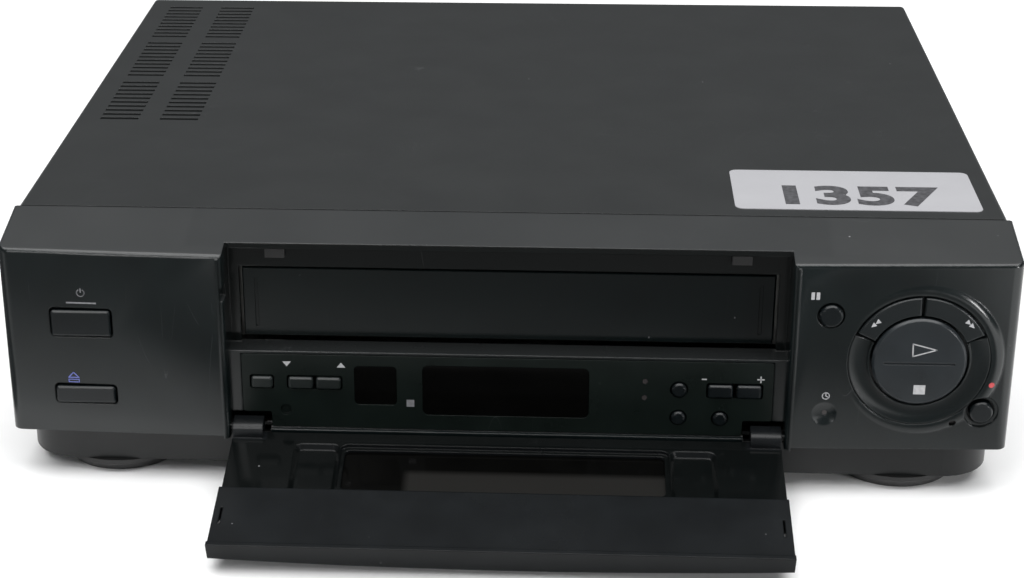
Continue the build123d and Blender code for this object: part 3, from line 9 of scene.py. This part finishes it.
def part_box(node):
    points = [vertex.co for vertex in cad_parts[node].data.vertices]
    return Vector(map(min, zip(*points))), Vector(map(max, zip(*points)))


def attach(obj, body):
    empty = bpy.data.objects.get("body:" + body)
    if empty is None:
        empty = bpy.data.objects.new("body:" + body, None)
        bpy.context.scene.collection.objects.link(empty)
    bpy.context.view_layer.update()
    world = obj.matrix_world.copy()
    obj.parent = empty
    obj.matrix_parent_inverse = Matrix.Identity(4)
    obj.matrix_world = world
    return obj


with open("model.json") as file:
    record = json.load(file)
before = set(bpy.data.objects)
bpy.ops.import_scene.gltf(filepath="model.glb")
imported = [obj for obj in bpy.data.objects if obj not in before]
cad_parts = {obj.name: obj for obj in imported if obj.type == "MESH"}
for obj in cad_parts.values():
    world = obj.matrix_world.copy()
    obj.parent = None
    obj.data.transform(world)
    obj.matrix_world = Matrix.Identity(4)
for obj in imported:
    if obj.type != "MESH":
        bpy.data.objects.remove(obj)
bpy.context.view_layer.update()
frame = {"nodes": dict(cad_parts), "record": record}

# Places are in metres, on the frame's own axes: x runs from the front's middle to the right, y runs
# to the rear and z runs up from the table. FRONT_Y is where the outer ends of the bowed fascia lie.
MM = 0.001
COVER_SETBACK = 0.029
FRONT_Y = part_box("top_cover")[0].y - COVER_SETBACK
FRONT_HALF = 0.180
FRONT_BOW = 0.0034
DOOR_LOW, DOOR_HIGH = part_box("front_door")
LEDGE_ABOVE_PANEL = 0.0012
LEDGE_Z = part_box("control_panel")[1].z + LEDGE_ABOVE_PANEL


def front_y(x):
    """Where the fascia's bowed face lies at x."""
    return FRONT_Y - FRONT_BOW * (1 - (x / FRONT_HALF) ** 2)


# ---- Node trees ----

class Nodes:
    """A short way to build a node tree."""

    def __init__(self, material):
        material.use_nodes = True
        self.tree = material.node_tree
        self.tree.nodes.clear()

    def add(self, kind, links=None, **values):
        """A new node. links gives its inputs, by name or number, as sockets or plain values."""
        node = self.tree.nodes.new(kind)
        for key, value in values.items():
            setattr(node, key, value)
        for key, value in (links or {}).items():
            socket = node.inputs[key]
            if isinstance(value, bpy.types.NodeSocket):
                self.tree.links.new(value, socket)
            else:
                socket.default_value = value
        return node

    def maths(self, operation, *values):
        """The result of one operation, such as MULTIPLY, on one or two values."""
        links = dict(enumerate(values))
        return self.add("ShaderNodeMath", links, operation=operation).outputs[0]

    def spread(self, source, low, high, at_low, at_high):
        """at_low where source is low, at_high where it is high, and held beyond both."""
        links = {0: source, 1: low, 2: high, 3: at_low, 4: at_high}
        return self.add("ShaderNodeMapRange", links).outputs[0]

    def ramp(self, source, low, high):
        """0 up to low and 1 from high on."""
        return self.spread(source, low, high, 0.0, 1.0)

    def noise(self, place, scale, **more):
        links = {"Vector": place, "Scale": scale}
        links.update(more)
        return self.add("ShaderNodeTexNoise", links).outputs[0]

    def mixed(self, factor, first, second):
        """A colour between two. The Mix node's colours go in at 6 and 7 and come out at 2."""
        links = {0: factor, 6: first, 7: second}
        return self.add("ShaderNodeMix", links, data_type="RGBA").outputs[2]


# ---- Masks: each takes the node tree and the place, and gives 0 to 1 ----

def painted_top_light(nodes, place):
    """Painted light on faces that look up: all of it near the top, half of it on the ledge, none on
    the sill.
    """
    facing = nodes.add("ShaderNodeNewGeometry").outputs["Normal"]
    upward = nodes.add("ShaderNodeSeparateXYZ", {0: facing}).outputs["Z"]
    height = nodes.add("ShaderNodeSeparateXYZ", {0: place}).outputs["Z"]
    high = nodes.ramp(height, LEDGE_Z - 0.030, LEDGE_Z + 0.028)
    return nodes.maths("MULTIPLY", nodes.ramp(upward, 0.75, 0.95), high)


def side_height(nodes):
    """How far a face looks up in the body's own frame, so that it is the same at every pose."""
    facing = nodes.add("ShaderNodeTexCoord").outputs["Normal"]
    return nodes.add("ShaderNodeSeparateXYZ", {0: facing}).outputs["Z"]


def door_outside(nodes, place):
    """The faces that look down when the door is open."""
    return nodes.ramp(side_height(nodes), -0.3, -0.6)


def on_inside(mask):
    """The part of a mask that lies on faces that look up when the door is open."""
    def limited(nodes, place):
        upward = nodes.ramp(side_height(nodes), 0.3, 0.6)
        return nodes.maths("MULTIPLY", mask(nodes, place), upward)
    return limited


def within(x0, x1, y0, y1, soft_y, soft_x=None):
    """The area between two x and two y values, with soft edges."""
    def mask(nodes, place):
        parts = nodes.add("ShaderNodeSeparateXYZ", {0: place})
        total = None
        for axis, low, high, soft in (("X", x0, x1, soft_x or soft_y), ("Y", y0, y1, soft_y)):
            value = parts.outputs[axis]
            for edge in (nodes.ramp(value, low - soft, low + soft),
                         nodes.ramp(value, high + soft, high - soft)):
                total = edge if total is None else nodes.maths("MULTIPLY", total, edge)
        return total
    return mask


# ANY is past every edge of the part. The bay's painted shade reaches past the door's ends and
# starts a little behind the front. The open door's inner half runs from HINGE_EDGE_Y out to
# LIP_EDGE_Y.
ANY = 1.0
SHARP = 0.0003
BAY_REACH = 0.012
BAY_START_Y = FRONT_Y + 0.0035
LUG_WIDTH = 0.0155
HINGE_EDGE_Y = FRONT_Y - 0.0040
LIP_EDGE_Y = FRONT_Y - 0.0345

# Painted shade: the bay inside the front is given a darker tone.
BAY_PAINTED_SHADE = within(DOOR_LOW.x - BAY_REACH, DOOR_HIGH.x + BAY_REACH, BAY_START_Y, ANY, 0.0012)
BETWEEN_LUGS = within(DOOR_LOW.x + LUG_WIDTH, DOOR_HIGH.x - LUG_WIDTH,
                      HINGE_EDGE_Y, FRONT_Y + 0.010, SHARP)
INNER_HALF = within(-ANY, ANY, LIP_EDGE_Y, HINGE_EDGE_Y, SHARP)
# Painted light: a lighter, rougher patch on the inside of the smoked pane.
WINDOW_PAINTED_LIGHT = within(-0.034, 0.070, FRONT_Y - 0.050, FRONT_Y - 0.0165, 0.0015)
# Painted reflection: the flap's left part is given a lighter tone with a broad soft edge.
FLAP_PAINTED_REFLECTION = within(-ANY, -0.010, -ANY, ANY, 0.090)


# ---- Materials ----

DUST = (0.33, 0.33, 0.34)
SCRATCHED = (0.20, 0.20, 0.21)


def rgba(r, g, b):
    """A colour with full opacity, as the nodes' sockets take it."""
    return (r, g, b, 1.0)


def speck_mask(nodes, place, amount):
    """Small light specks of dust, sparse and uneven in size."""
    cells = nodes.add("ShaderNodeTexVoronoi", {"Vector": place, "Scale": 231.0})
    near = nodes.spread(cells.outputs["Distance"], 0.04, 0.10, 1.0, 0.0)
    chosen = nodes.add("ShaderNodeSeparateColor", {0: cells.outputs["Color"]}).outputs[0]
    rare = nodes.ramp(chosen, 1.0 - amount * 0.06, 1.0)
    return nodes.maths("MULTIPLY", nodes.maths("MULTIPLY", near, rare), 0.8)


def scratch_mask(nodes, place, amount):
    """Hair scratches: thin lines where a stretched noise passes its middle, broken into patches."""
    total = None
    for turn, scale in ((0.4, 70.0), (-0.7, 95.0)):
        stretched = nodes.add("ShaderNodeMapping", {
            "Vector": place, "Rotation": (turn, turn * 0.6, turn),
            "Scale": (1.0, 1.0, 0.16)}).outputs[0]
        wave = nodes.noise(stretched, scale, Detail=0.0)
        off = nodes.maths("ABSOLUTE", nodes.maths("SUBTRACT", wave, 0.5))
        line = nodes.spread(off, 0.0, 0.0022, 1.0, 0.0)
        patch = nodes.ramp(nodes.noise(place, scale * 0.4), 0.58, 0.68)
        line = nodes.maths("MULTIPLY", line, patch)
        total = line if total is None else nodes.maths("MAXIMUM", total, line)
    return nodes.maths("MULTIPLY", total, amount)


def surface(name, colour, roughness=0.45, metallic=0.0, specular=0.5, mottle=0.15,
            mottle_scale=60.0, grain=0.0, grain_scale=2500.0, specks=0.0, scratches=0.0,
            smudge=0.04, rounding=0.0003, brushed=(1.0, 1.0, 1.0), areas=()):
    """A finish with fine grain, uneven tone, dust specks and hair scratches. areas holds the
    (mask, colour, added roughness) of each area that differs from the rest."""
    material = bpy.data.materials.new(name)
    nodes = Nodes(material)
    place = nodes.add("ShaderNodeTexCoord").outputs["Object"]
    shader = nodes.add("ShaderNodeBsdfPrincipled", {
        "Metallic": metallic, "Specular IOR Level": specular})
    masks = [mask(nodes, place) for mask, _, _ in areas]

    blotch = nodes.noise(place, mottle_scale, Detail=3.0, Roughness=0.55)
    dark = rgba(*(c * (1 - mottle) for c in colour))
    light = rgba(*(min(1.0, c * (1 + mottle)) for c in colour))
    tone = nodes.mixed(nodes.ramp(blotch, 0.35, 0.65), dark, light)
    for mask, (_, other, _) in zip(masks, areas):
        tone = nodes.mixed(mask, tone, rgba(*other))
    if specks > 0:
        tone = nodes.mixed(speck_mask(nodes, place, specks), tone, rgba(*DUST))
    if scratches > 0:
        tone = nodes.mixed(scratch_mask(nodes, place, scratches), tone, rgba(*SCRATCHED))
    nodes.tree.links.new(tone, shader.inputs["Base Color"])

    haze = nodes.noise(place, 22.0, Detail=4.0)
    least, most = max(0.02, roughness - smudge), min(1.0, roughness + smudge)
    rough = nodes.spread(haze, 0.3, 0.7, least, most)
    for mask, (_, _, more) in zip(masks, areas):
        rough = nodes.maths("ADD", rough, nodes.maths("MULTIPLY", mask, more))
    nodes.tree.links.new(rough, shader.inputs["Roughness"])

    normal = nodes.add("ShaderNodeBevel", {"Radius": rounding}, samples=4).outputs[0]
    if grain > 0:
        stretched = nodes.add("ShaderNodeMapping", {"Vector": place, "Scale": brushed}).outputs[0]
        fine = nodes.noise(stretched, grain_scale, Detail=2.0)
        normal = nodes.add("ShaderNodeBump", {
            "Height": fine, "Strength": grain, "Distance": 0.0002,
            "Normal": normal}).outputs[0]
    nodes.tree.links.new(normal, shader.inputs["Normal"])
    nodes.add("ShaderNodeOutputMaterial", {"Surface": shader.outputs[0]})
    return material


DOOR_GLOSS = (0.0028, 0.0035, 0.0035)
FINISHES = {
    "cover_paint": surface(
        "cover_paint", (0.0175, 0.0190, 0.0192), 0.42, mottle=0.05, mottle_scale=40.0,
        grain=0.35, grain_scale=1800.0, specks=0.25, scratches=0.12),
    "fascia_plastic": surface(
        "fascia_plastic", (0.0038, 0.0063, 0.0066), 0.20, grain=0.04, specks=0.5,
        scratches=0.10, rounding=0.0008,
        # The bay's darker tone here is painted shade.
        areas=[(BAY_PAINTED_SHADE, (0.0024, 0.0034, 0.0033), -0.04),
               # Painted light: faces that look up are given a much lighter tone, and are rougher.
               (painted_top_light, (0.0245, 0.0262, 0.0267), 0.2)]),
    "door_plastic": surface(
        "door_plastic", (0.0060, 0.0070, 0.0078), 0.26, specular=0.25, specks=0.6,
        scratches=0.05, smudge=0.02, rounding=0.0007,
        areas=[(on_inside(INNER_HALF), DOOR_GLOSS, -0.13),
               (BETWEEN_LUGS, DOOR_GLOSS, 0.0),
               (door_outside, (0.0052, 0.0068, 0.0070), -0.06)]),
    "panel_plastic": surface(
        "panel_plastic", (0.0050, 0.0078, 0.0068), 0.24, specular=0.2, grain=0.04,
        specks=0.6, scratches=0.06),
    "key_plastic": surface(
        "key_plastic", (0.0036, 0.0054, 0.0062), 0.22, specular=0.4, grain=0.04,
        specks=0.3, rounding=0.0006),
    "accent_key_plastic": surface(
        "accent_key_plastic", (0.0085, 0.0115, 0.0110), 0.30, specular=0.4, grain=0.08,
        rounding=0.0005),
    "smoked_window": surface(
        "smoked_window", (0.0016, 0.0016, 0.0015), 0.10, specular=0.12, specks=0.2,
        # The lighter patch on the pane's inside is painted light.
        smudge=0.02, areas=[(on_inside(WINDOW_PAINTED_LIGHT), (0.0125, 0.0122, 0.0115), 0.1)]),
    "tray_plastic": surface(
        "tray_plastic", (0.0062, 0.0070, 0.0072), 0.34, specular=0.35, grain=0.15,
        specks=0.4, scratches=0.1),
    "foot_plastic": surface("foot_plastic", (0.010, 0.010, 0.010), 0.5, grain=0.2),
    "rubber_pad": surface("rubber_pad", (0.016, 0.016, 0.016), 0.6, grain=0.2),
    "lamp_lens": surface("lamp_lens", (0.034, 0.030, 0.030), 0.25),
    "label_paper": surface(
        "label_paper", (0.345, 0.345, 0.36), 0.5, mottle=0.02, smudge=0.05),
    "screw_steel": surface(
        "screw_steel", (0.10, 0.10, 0.105), 0.35, metallic=0.9, grain=0.1),
    "rear_steel": surface(
        "rear_steel", (0.015, 0.015, 0.016), 0.45, grain=0.3, grain_scale=1800.0),
    "zinc_steel": surface(
        "zinc_steel", (0.45, 0.45, 0.43), 0.35, metallic=0.95, mottle=0.2,
        mottle_scale=90.0, grain=0.1, brushed=(1.0, 0.08, 1.0)),
    "deck_aluminium": surface(
        "deck_aluminium", (0.62, 0.63, 0.64), 0.26, metallic=1.0, grain=0.1,
        brushed=(1.0, 1.0, 6.0)),
    "board_laminate": surface(
        "board_laminate", (0.12, 0.075, 0.025), 0.45, mottle=0.3, mottle_scale=140.0),
    "component_plastic": surface(
        "component_plastic", (0.014, 0.014, 0.015), 0.4, grain=0.1),
    "display_glass": surface("display_glass", (0.02, 0.03, 0.03), 0.08, specular=0.6),
    "socket_plastic": surface("socket_plastic", (0.010, 0.010, 0.010), 0.42, grain=0.1),
    "socket_metal": surface("socket_metal", (0.60, 0.58, 0.54), 0.22, metallic=1.0),
    "reel_plastic": surface("reel_plastic", (0.62, 0.62, 0.58), 0.4, mottle=0.04),
    "roller_rubber": surface("roller_rubber", (0.020, 0.016, 0.013), 0.55, grain=0.15),
}

# Pieces that share a slot with others but look different in the photograph.
# The flap's lighter left part is a painted reflection.
FLAP_FINISH = surface(
    "flap_plastic", (0.0016, 0.0032, 0.0034), 0.18, specular=0.4, grain=0.03, specks=0.5,
    scratches=0.08, areas=[(FLAP_PAINTED_REFLECTION, (0.0042, 0.0064, 0.0064), 0.02)])
ROCKER_FINISH = surface(
    "rocker_plastic", (0.0138, 0.0172, 0.0196), 0.26, grain=0.04, specks=0.3, rounding=0.0006)
# The rewind and fast forward keys are a lighter copy of the key plastic: painted highlight.
WIND_KEY_PAINTED_HIGHLIGHT_FINISH = surface(
    "wind_key_painted_highlight", (0.0080, 0.0104, 0.0112), 0.24, specular=0.45, grain=0.04, specks=0.3,
    rounding=0.0006)
OWN_FINISHES = {
    "cassette_flap": FLAP_FINISH,
    "play_stop_rocker": ROCKER_FINISH,
    "rewind_key": WIND_KEY_PAINTED_HIGHLIGHT_FINISH,
    "fast_forward_key": WIND_KEY_PAINTED_HIGHLIGHT_FINISH,
}

PRINT_GREY = surface("print_grey", (0.36, 0.36, 0.37), 0.5, mottle=0.12, mottle_scale=900.0)
PRINT_DIM = surface("print_dim", (0.16, 0.16, 0.17), 0.5, mottle=0.15, mottle_scale=900.0)
PRINT_BLUE = surface("print_blue", (0.10, 0.12, 0.36), 0.5, mottle=0.12, mottle_scale=900.0)
PRINT_RED = surface("print_red", (0.45, 0.045, 0.05), 0.5, mottle=0.12, mottle_scale=900.0)
LABEL_INK = surface("label_ink", (0.055, 0.055, 0.06), 0.6, mottle=0.35, mottle_scale=500.0)

for part in frame["record"]["subparts"]:
    node = frame["nodes"][part["node"]]
    finish = OWN_FINISHES.get(part["node"], FINISHES[part["material_slot"]])
    if not node.material_slots:
        node.data.materials.append(finish)
    for slot in node.material_slots:
        slot.material = finish


# ---- Printed marks, drawn in mm on the front, by (x, z) ----

PRINT_LIFT = 0.00006
LOOK_FROM = 0.05
NEAR_FACE = 0.0030
END_REACH = 0.9


def printed(name, loops, material, body, place):
    """A thin printed mark. loops are closed outlines of (x, z) in mm, and place gives y."""
    mesh = bpy.data.meshes.new(name)
    shape = bmesh.new()
    for loop in loops:
        corners = [shape.verts.new((x * MM, 0.0, z * MM)) for x, z in loop]
        shape.faces.new(corners)
    bmesh.ops.triangulate(shape, faces=shape.faces[:])
    for vert in shape.verts:
        vert.co.y = place(vert.co.x, vert.co.z) - PRINT_LIFT
    bmesh.ops.recalc_face_normals(shape, faces=shape.faces[:])
    for face in shape.faces:
        if face.normal.y > 0:
            face.normal_flip()
    shape.to_mesh(mesh)
    shape.free()
    mesh.materials.append(material)
    piece = bpy.data.objects.new(name, mesh)
    bpy.context.scene.collection.objects.link(piece)
    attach(piece, body)


def rectangle(x0, x1, z0, z1, steps=6):
    """A level bar, in short lengths so that it follows the bow."""
    xs = [x0 + (x1 - x0) * i / steps for i in range(steps + 1)]
    return [[(a, z0), (b, z0), (b, z1), (a, z1)] for a, b in zip(xs, xs[1:])]


def stroke(points, width, closed=False):
    """Short quads along a line of points, each run on a little past its ends."""
    following = points[1:] + points[:1] if closed else points[1:]
    quads = []
    for (x0, z0), (x1, z1) in zip(points, following):
        length = math.hypot(x1 - x0, z1 - z0)
        dx, dz = (x1 - x0) / length * width / 2, (z1 - z0) / length * width / 2
        x0, z0 = x0 - dx * END_REACH, z0 - dz * END_REACH
        x1, z1 = x1 + dx * END_REACH, z1 + dz * END_REACH
        quads.append([(x0 - dz, z0 + dx), (x1 - dz, z1 + dx),
                      (x1 + dz, z1 - dx), (x0 + dz, z0 - dx)])
    return quads


def arc(x, z, radius, start, end, steps=20):
    """Points on an arc about (x, z), from one angle to another in degrees."""
    angles = [math.radians(start + (end - start) * i / steps) for i in range(steps + 1)]
    return [(x + radius * math.cos(a), z + radius * math.sin(a)) for a in angles]


def turned(loops, x, z, angle):
    """Loops drawn about (0, 0), turned by angle and moved to (x, z)."""
    c, s = math.cos(math.radians(angle)), math.sin(math.radians(angle))
    return [[(x + c * px - s * pz, z + s * px + c * pz) for px, pz in loop] for loop in loops]


def on_front(x, z):
    """The fascia's own surface at (x, z), found by looking back from ahead of it. Over a hole or
    a dish it is the bowed face."""
    ahead = Vector((x, FRONT_Y - LOOK_FROM, z))
    hit, place, _, _ = frame["nodes"]["front_fascia"].ray_cast(ahead, Vector((0, 1, 0)))
    return place.y if hit and abs(place.y - front_y(x)) < NEAR_FACE else front_y(x)


def flat_at(node):
    """A place function for a flat face: the y of the node's foremost point."""
    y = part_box(node)[0].y
    return lambda x, z: y


ON_PANEL = flat_at("control_panel")
ON_ROCKER = flat_at("play_stop_rocker")
ON_REWIND = flat_at("rewind_key")
ON_FORWARD = flat_at("fast_forward_key")

printed("power_mark_bar", rectangle(-156.1, -145.2, 70.2, 70.8),
        PRINT_DIM, "chassis", on_front)
printed("power_mark_ring",
        stroke(arc(-150.6, 74.4, 1.35, 125, 415), 0.38) +
        rectangle(-150.8, -150.4, 74.5, 76.2, 1),
        PRINT_DIM, "chassis", on_front)
printed("eject_mark",
        stroke([(-157.4, 40.9), (-153.6, 40.9), (-155.5, 42.9)], 0.42, closed=True) +
        stroke([(-157.4, 39.1), (-153.6, 39.1), (-153.6, 40.1), (-157.4, 40.1)], 0.36,
               closed=True),
        PRINT_BLUE, "chassis", on_front)
printed("pause_mark",
        rectangle(107.0, 108.2, 77.2, 80.0, 1) + rectangle(108.8, 110.0, 77.2, 80.0, 1),
        PRINT_GREY, "chassis", on_front)
printed("record_mark", [arc(172.0, 45.3, 1.05, 0, 350, 21)],
        PRINT_RED, "chassis", on_front)
printed("timer_mark",
        stroke(arc(114.4, 40.0, 1.25, 0, 360), 0.34) +
        stroke([(114.4, 40.9), (114.4, 40.0), (115.1, 39.6)], 0.3),
        PRINT_GREY, "chassis", on_front)
printed("play_mark", stroke([(143.3, 61.2), (143.5, 56.4), (151.6, 59.0)], 0.45, closed=True),
        PRINT_GREY, "rocker", ON_ROCKER)
printed("stop_mark", rectangle(144.7, 148.8, 41.7, 45.3, 1),
        PRINT_GREY, "rocker", ON_ROCKER)
DOUBLE = [[(-2.0, 0.0), (-0.1, 0.95), (-0.1, -0.95)], [(-0.1, 0.0), (1.8, 0.95), (1.8, -0.95)]]
printed("rewind_mark", turned(DOUBLE, 129.9, 68.4, 42),
        PRINT_GREY, "rewind_key_body", ON_REWIND)
printed("forward_mark", turned(DOUBLE, 162.5, 68.8, 138),
        PRINT_GREY, "fast_forward_key_body", ON_FORWARD)
printed("tracking_down_mark", [[(-79.9, 47.1), (-76.7, 47.1), (-78.3, 45.1)]],
        PRINT_GREY, "chassis", ON_PANEL)
printed("tracking_up_mark", [[(-60.2, 45.0), (-57.0, 45.0), (-58.6, 47.0)]],
        PRINT_GREY, "chassis", ON_PANEL)
printed("program_down_mark", rectangle(70.8, 72.6, 42.9, 43.4, 1),
        PRINT_GREY, "chassis", ON_PANEL)
printed("program_up_mark",
        rectangle(90.5, 93.1, 43.15, 43.65, 1) + rectangle(91.55, 92.05, 42.1, 44.7, 1),
        PRINT_GREY, "chassis", ON_PANEL)
printed("remote_mark", rectangle(-35.1, -32.3, 29.8, 32.6, 1),
        PRINT_DIM, "chassis", ON_PANEL)


# ---- Number on the stock label, fitted between NUMBER_LOW and NUMBER_HIGH ----

NUMBER_LOW = Vector((0.1008, FRONT_Y + 0.0395, 0.0))
NUMBER_HIGH = Vector((0.1580, FRONT_Y + 0.0593, 0.0))
NUMBER_LIFT = 0.00004
number_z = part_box("inventory_label")[1].z + NUMBER_LIFT

curve = bpy.data.curves.new("label_number", "FONT")
curve.body = "1357"
curve.size = 0.026
curve.offset = 0.0011
curve.space_character = 1.08
text = bpy.data.objects.new("label_number_text", curve)
bpy.context.scene.collection.objects.link(text)
bpy.context.view_layer.update()
mesh = bpy.data.meshes.new_from_object(
    text.evaluated_get(bpy.context.evaluated_depsgraph_get()))
bpy.data.objects.remove(text)
xs = [v.co.x for v in mesh.vertices]
ys = [v.co.y for v in mesh.vertices]
left, near = min(xs), min(ys)
x_scale = (NUMBER_HIGH.x - NUMBER_LOW.x) / (max(xs) - left)
y_scale = (NUMBER_HIGH.y - NUMBER_LOW.y) / (max(ys) - near)
for v in mesh.vertices:
    v.co.x = NUMBER_LOW.x + (v.co.x - left) * x_scale
    v.co.y = NUMBER_LOW.y + (v.co.y - near) * y_scale
    v.co.z = number_z
mesh.materials.clear()
mesh.materials.append(LABEL_INK)
number = bpy.data.objects.new("label_number", mesh)
bpy.context.scene.collection.objects.link(number)
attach(number, "chassis")


# ---- Stage: floor, cards, lights and camera ----

def plane(name, x0, x1, y0, y1, z, material):
    """A level sheet of the stage."""
    sheet = bpy.data.meshes.new(name)
    sheet.from_pydata([(x0, y0, z), (x1, y0, z), (x1, y1, z), (x0, y1, z)], [], [(0, 1, 2, 3)])
    sheet.materials.append(material)
    piece = bpy.data.objects.new(name, sheet)
    bpy.context.scene.collection.objects.link(piece)
    return piece


WHITE_FLOOR = surface(
    "floor_white", (0.93, 0.93, 0.93), 0.7, specular=0.1, mottle=0.005, rounding=0.0)
plane("floor", -6.0, 6.0, -6.0, 8.0, -0.0002, WHITE_FLOOR)

# The cards lie on the floor, seen only in the part's reflections, and keep the white floor from
# shining in the dark wings. The front card is pale near the part and at its right end.
DARK_GREY = (0.11, 0.11, 0.11)
CARD_DARK = within(-2.0, 0.174, FRONT_Y - 2.0, FRONT_Y - 0.078, 0.055, 0.018)
FRONT_CARD = surface(
    "card_grey", (0.70, 0.70, 0.70), 0.9, specular=0.0, mottle=0.01, smudge=0.0,
    rounding=0.0, areas=[(CARD_DARK, DARK_GREY, 0.0)])
SIDE_CARD = surface("card_dark", DARK_GREY, 0.9, specular=0.0, mottle=0.01, rounding=0.0)
front_card = plane(
    "front_card", -1.5, 0.196, FRONT_Y - 1.4, FRONT_Y - 0.025, 0.0006, FRONT_CARD)
front_card.rotation_euler.z = 0.15
side_card = plane("side_card", -1.2, -0.23, FRONT_Y - 0.30, 0.4, 0.0004, SIDE_CARD)
for card in (front_card, side_card):
    card.visible_camera = False
    card.visible_diffuse = False
    card.visible_shadow = False


def area_light(name, place, target, wide, tall, power):
    """A softbox at place, turned to target."""
    light = bpy.data.lights.new(name, "AREA")
    light.shape = "RECTANGLE"
    light.size, light.size_y = wide, tall
    light.energy = power
    lamp = bpy.data.objects.new(name, light)
    bpy.context.scene.collection.objects.link(lamp)
    lamp.location = place
    lamp.rotation_euler = (Vector(target) - Vector(place)).to_track_quat("-Z", "Y").to_euler()


area_light("overhead", (0.0, -0.25, 1.9), (0.0, 0.0, 0.0), wide=3.4, tall=1.7, power=78.0)
area_light("right_softbox", (0.85, -0.80, 0.26), (0.15, FRONT_Y, 0.06),
           wide=0.10, tall=0.28, power=3.1)
area_light("front_left_softbox", (-0.42, -1.25, 1.25), (-0.05, 0.0, 0.05),
           wide=0.40, tall=0.50, power=4.6)
area_light("low_left_softbox", (-0.46, -1.16, 0.25), (0.14, FRONT_Y, 0.06),
           wide=0.16, tall=0.30, power=1.2)

world = bpy.data.worlds.new("studio")
bpy.context.scene.world = world
world.use_nodes = True
background = world.node_tree.nodes["Background"]
background.inputs["Color"].default_value = (0.95, 0.97, 1.0, 1.0)
background.inputs["Strength"].default_value = 0.16

# The camera was solved from the case's straight edges. right, up and back are its own axes.
camera_data = bpy.data.cameras.new("camera")
camera_data.sensor_width = 36.0
camera_data.lens = 75.34
camera_data.shift_x = 0.0688
camera_data.clip_start, camera_data.clip_end = 0.05, 30.0
camera = bpy.data.objects.new("camera", camera_data)
bpy.context.scene.collection.objects.link(camera)
camera_place = Vector((0.02282, FRONT_Y - 0.68984, 0.37969))
right = Vector((0.99810, 0.06117, -0.00796))
up = Vector((-0.01719, 0.39981, 0.91642))
back = Vector((0.05924, -0.91454, 0.40010))
camera_axes = Matrix((right, up, back)).transposed().to_4x4()
camera.matrix_world = Matrix.Translation(camera_place) @ camera_axes
bpy.context.scene.camera = camera
bpy.context.scene.view_settings.view_transform = "Standard"
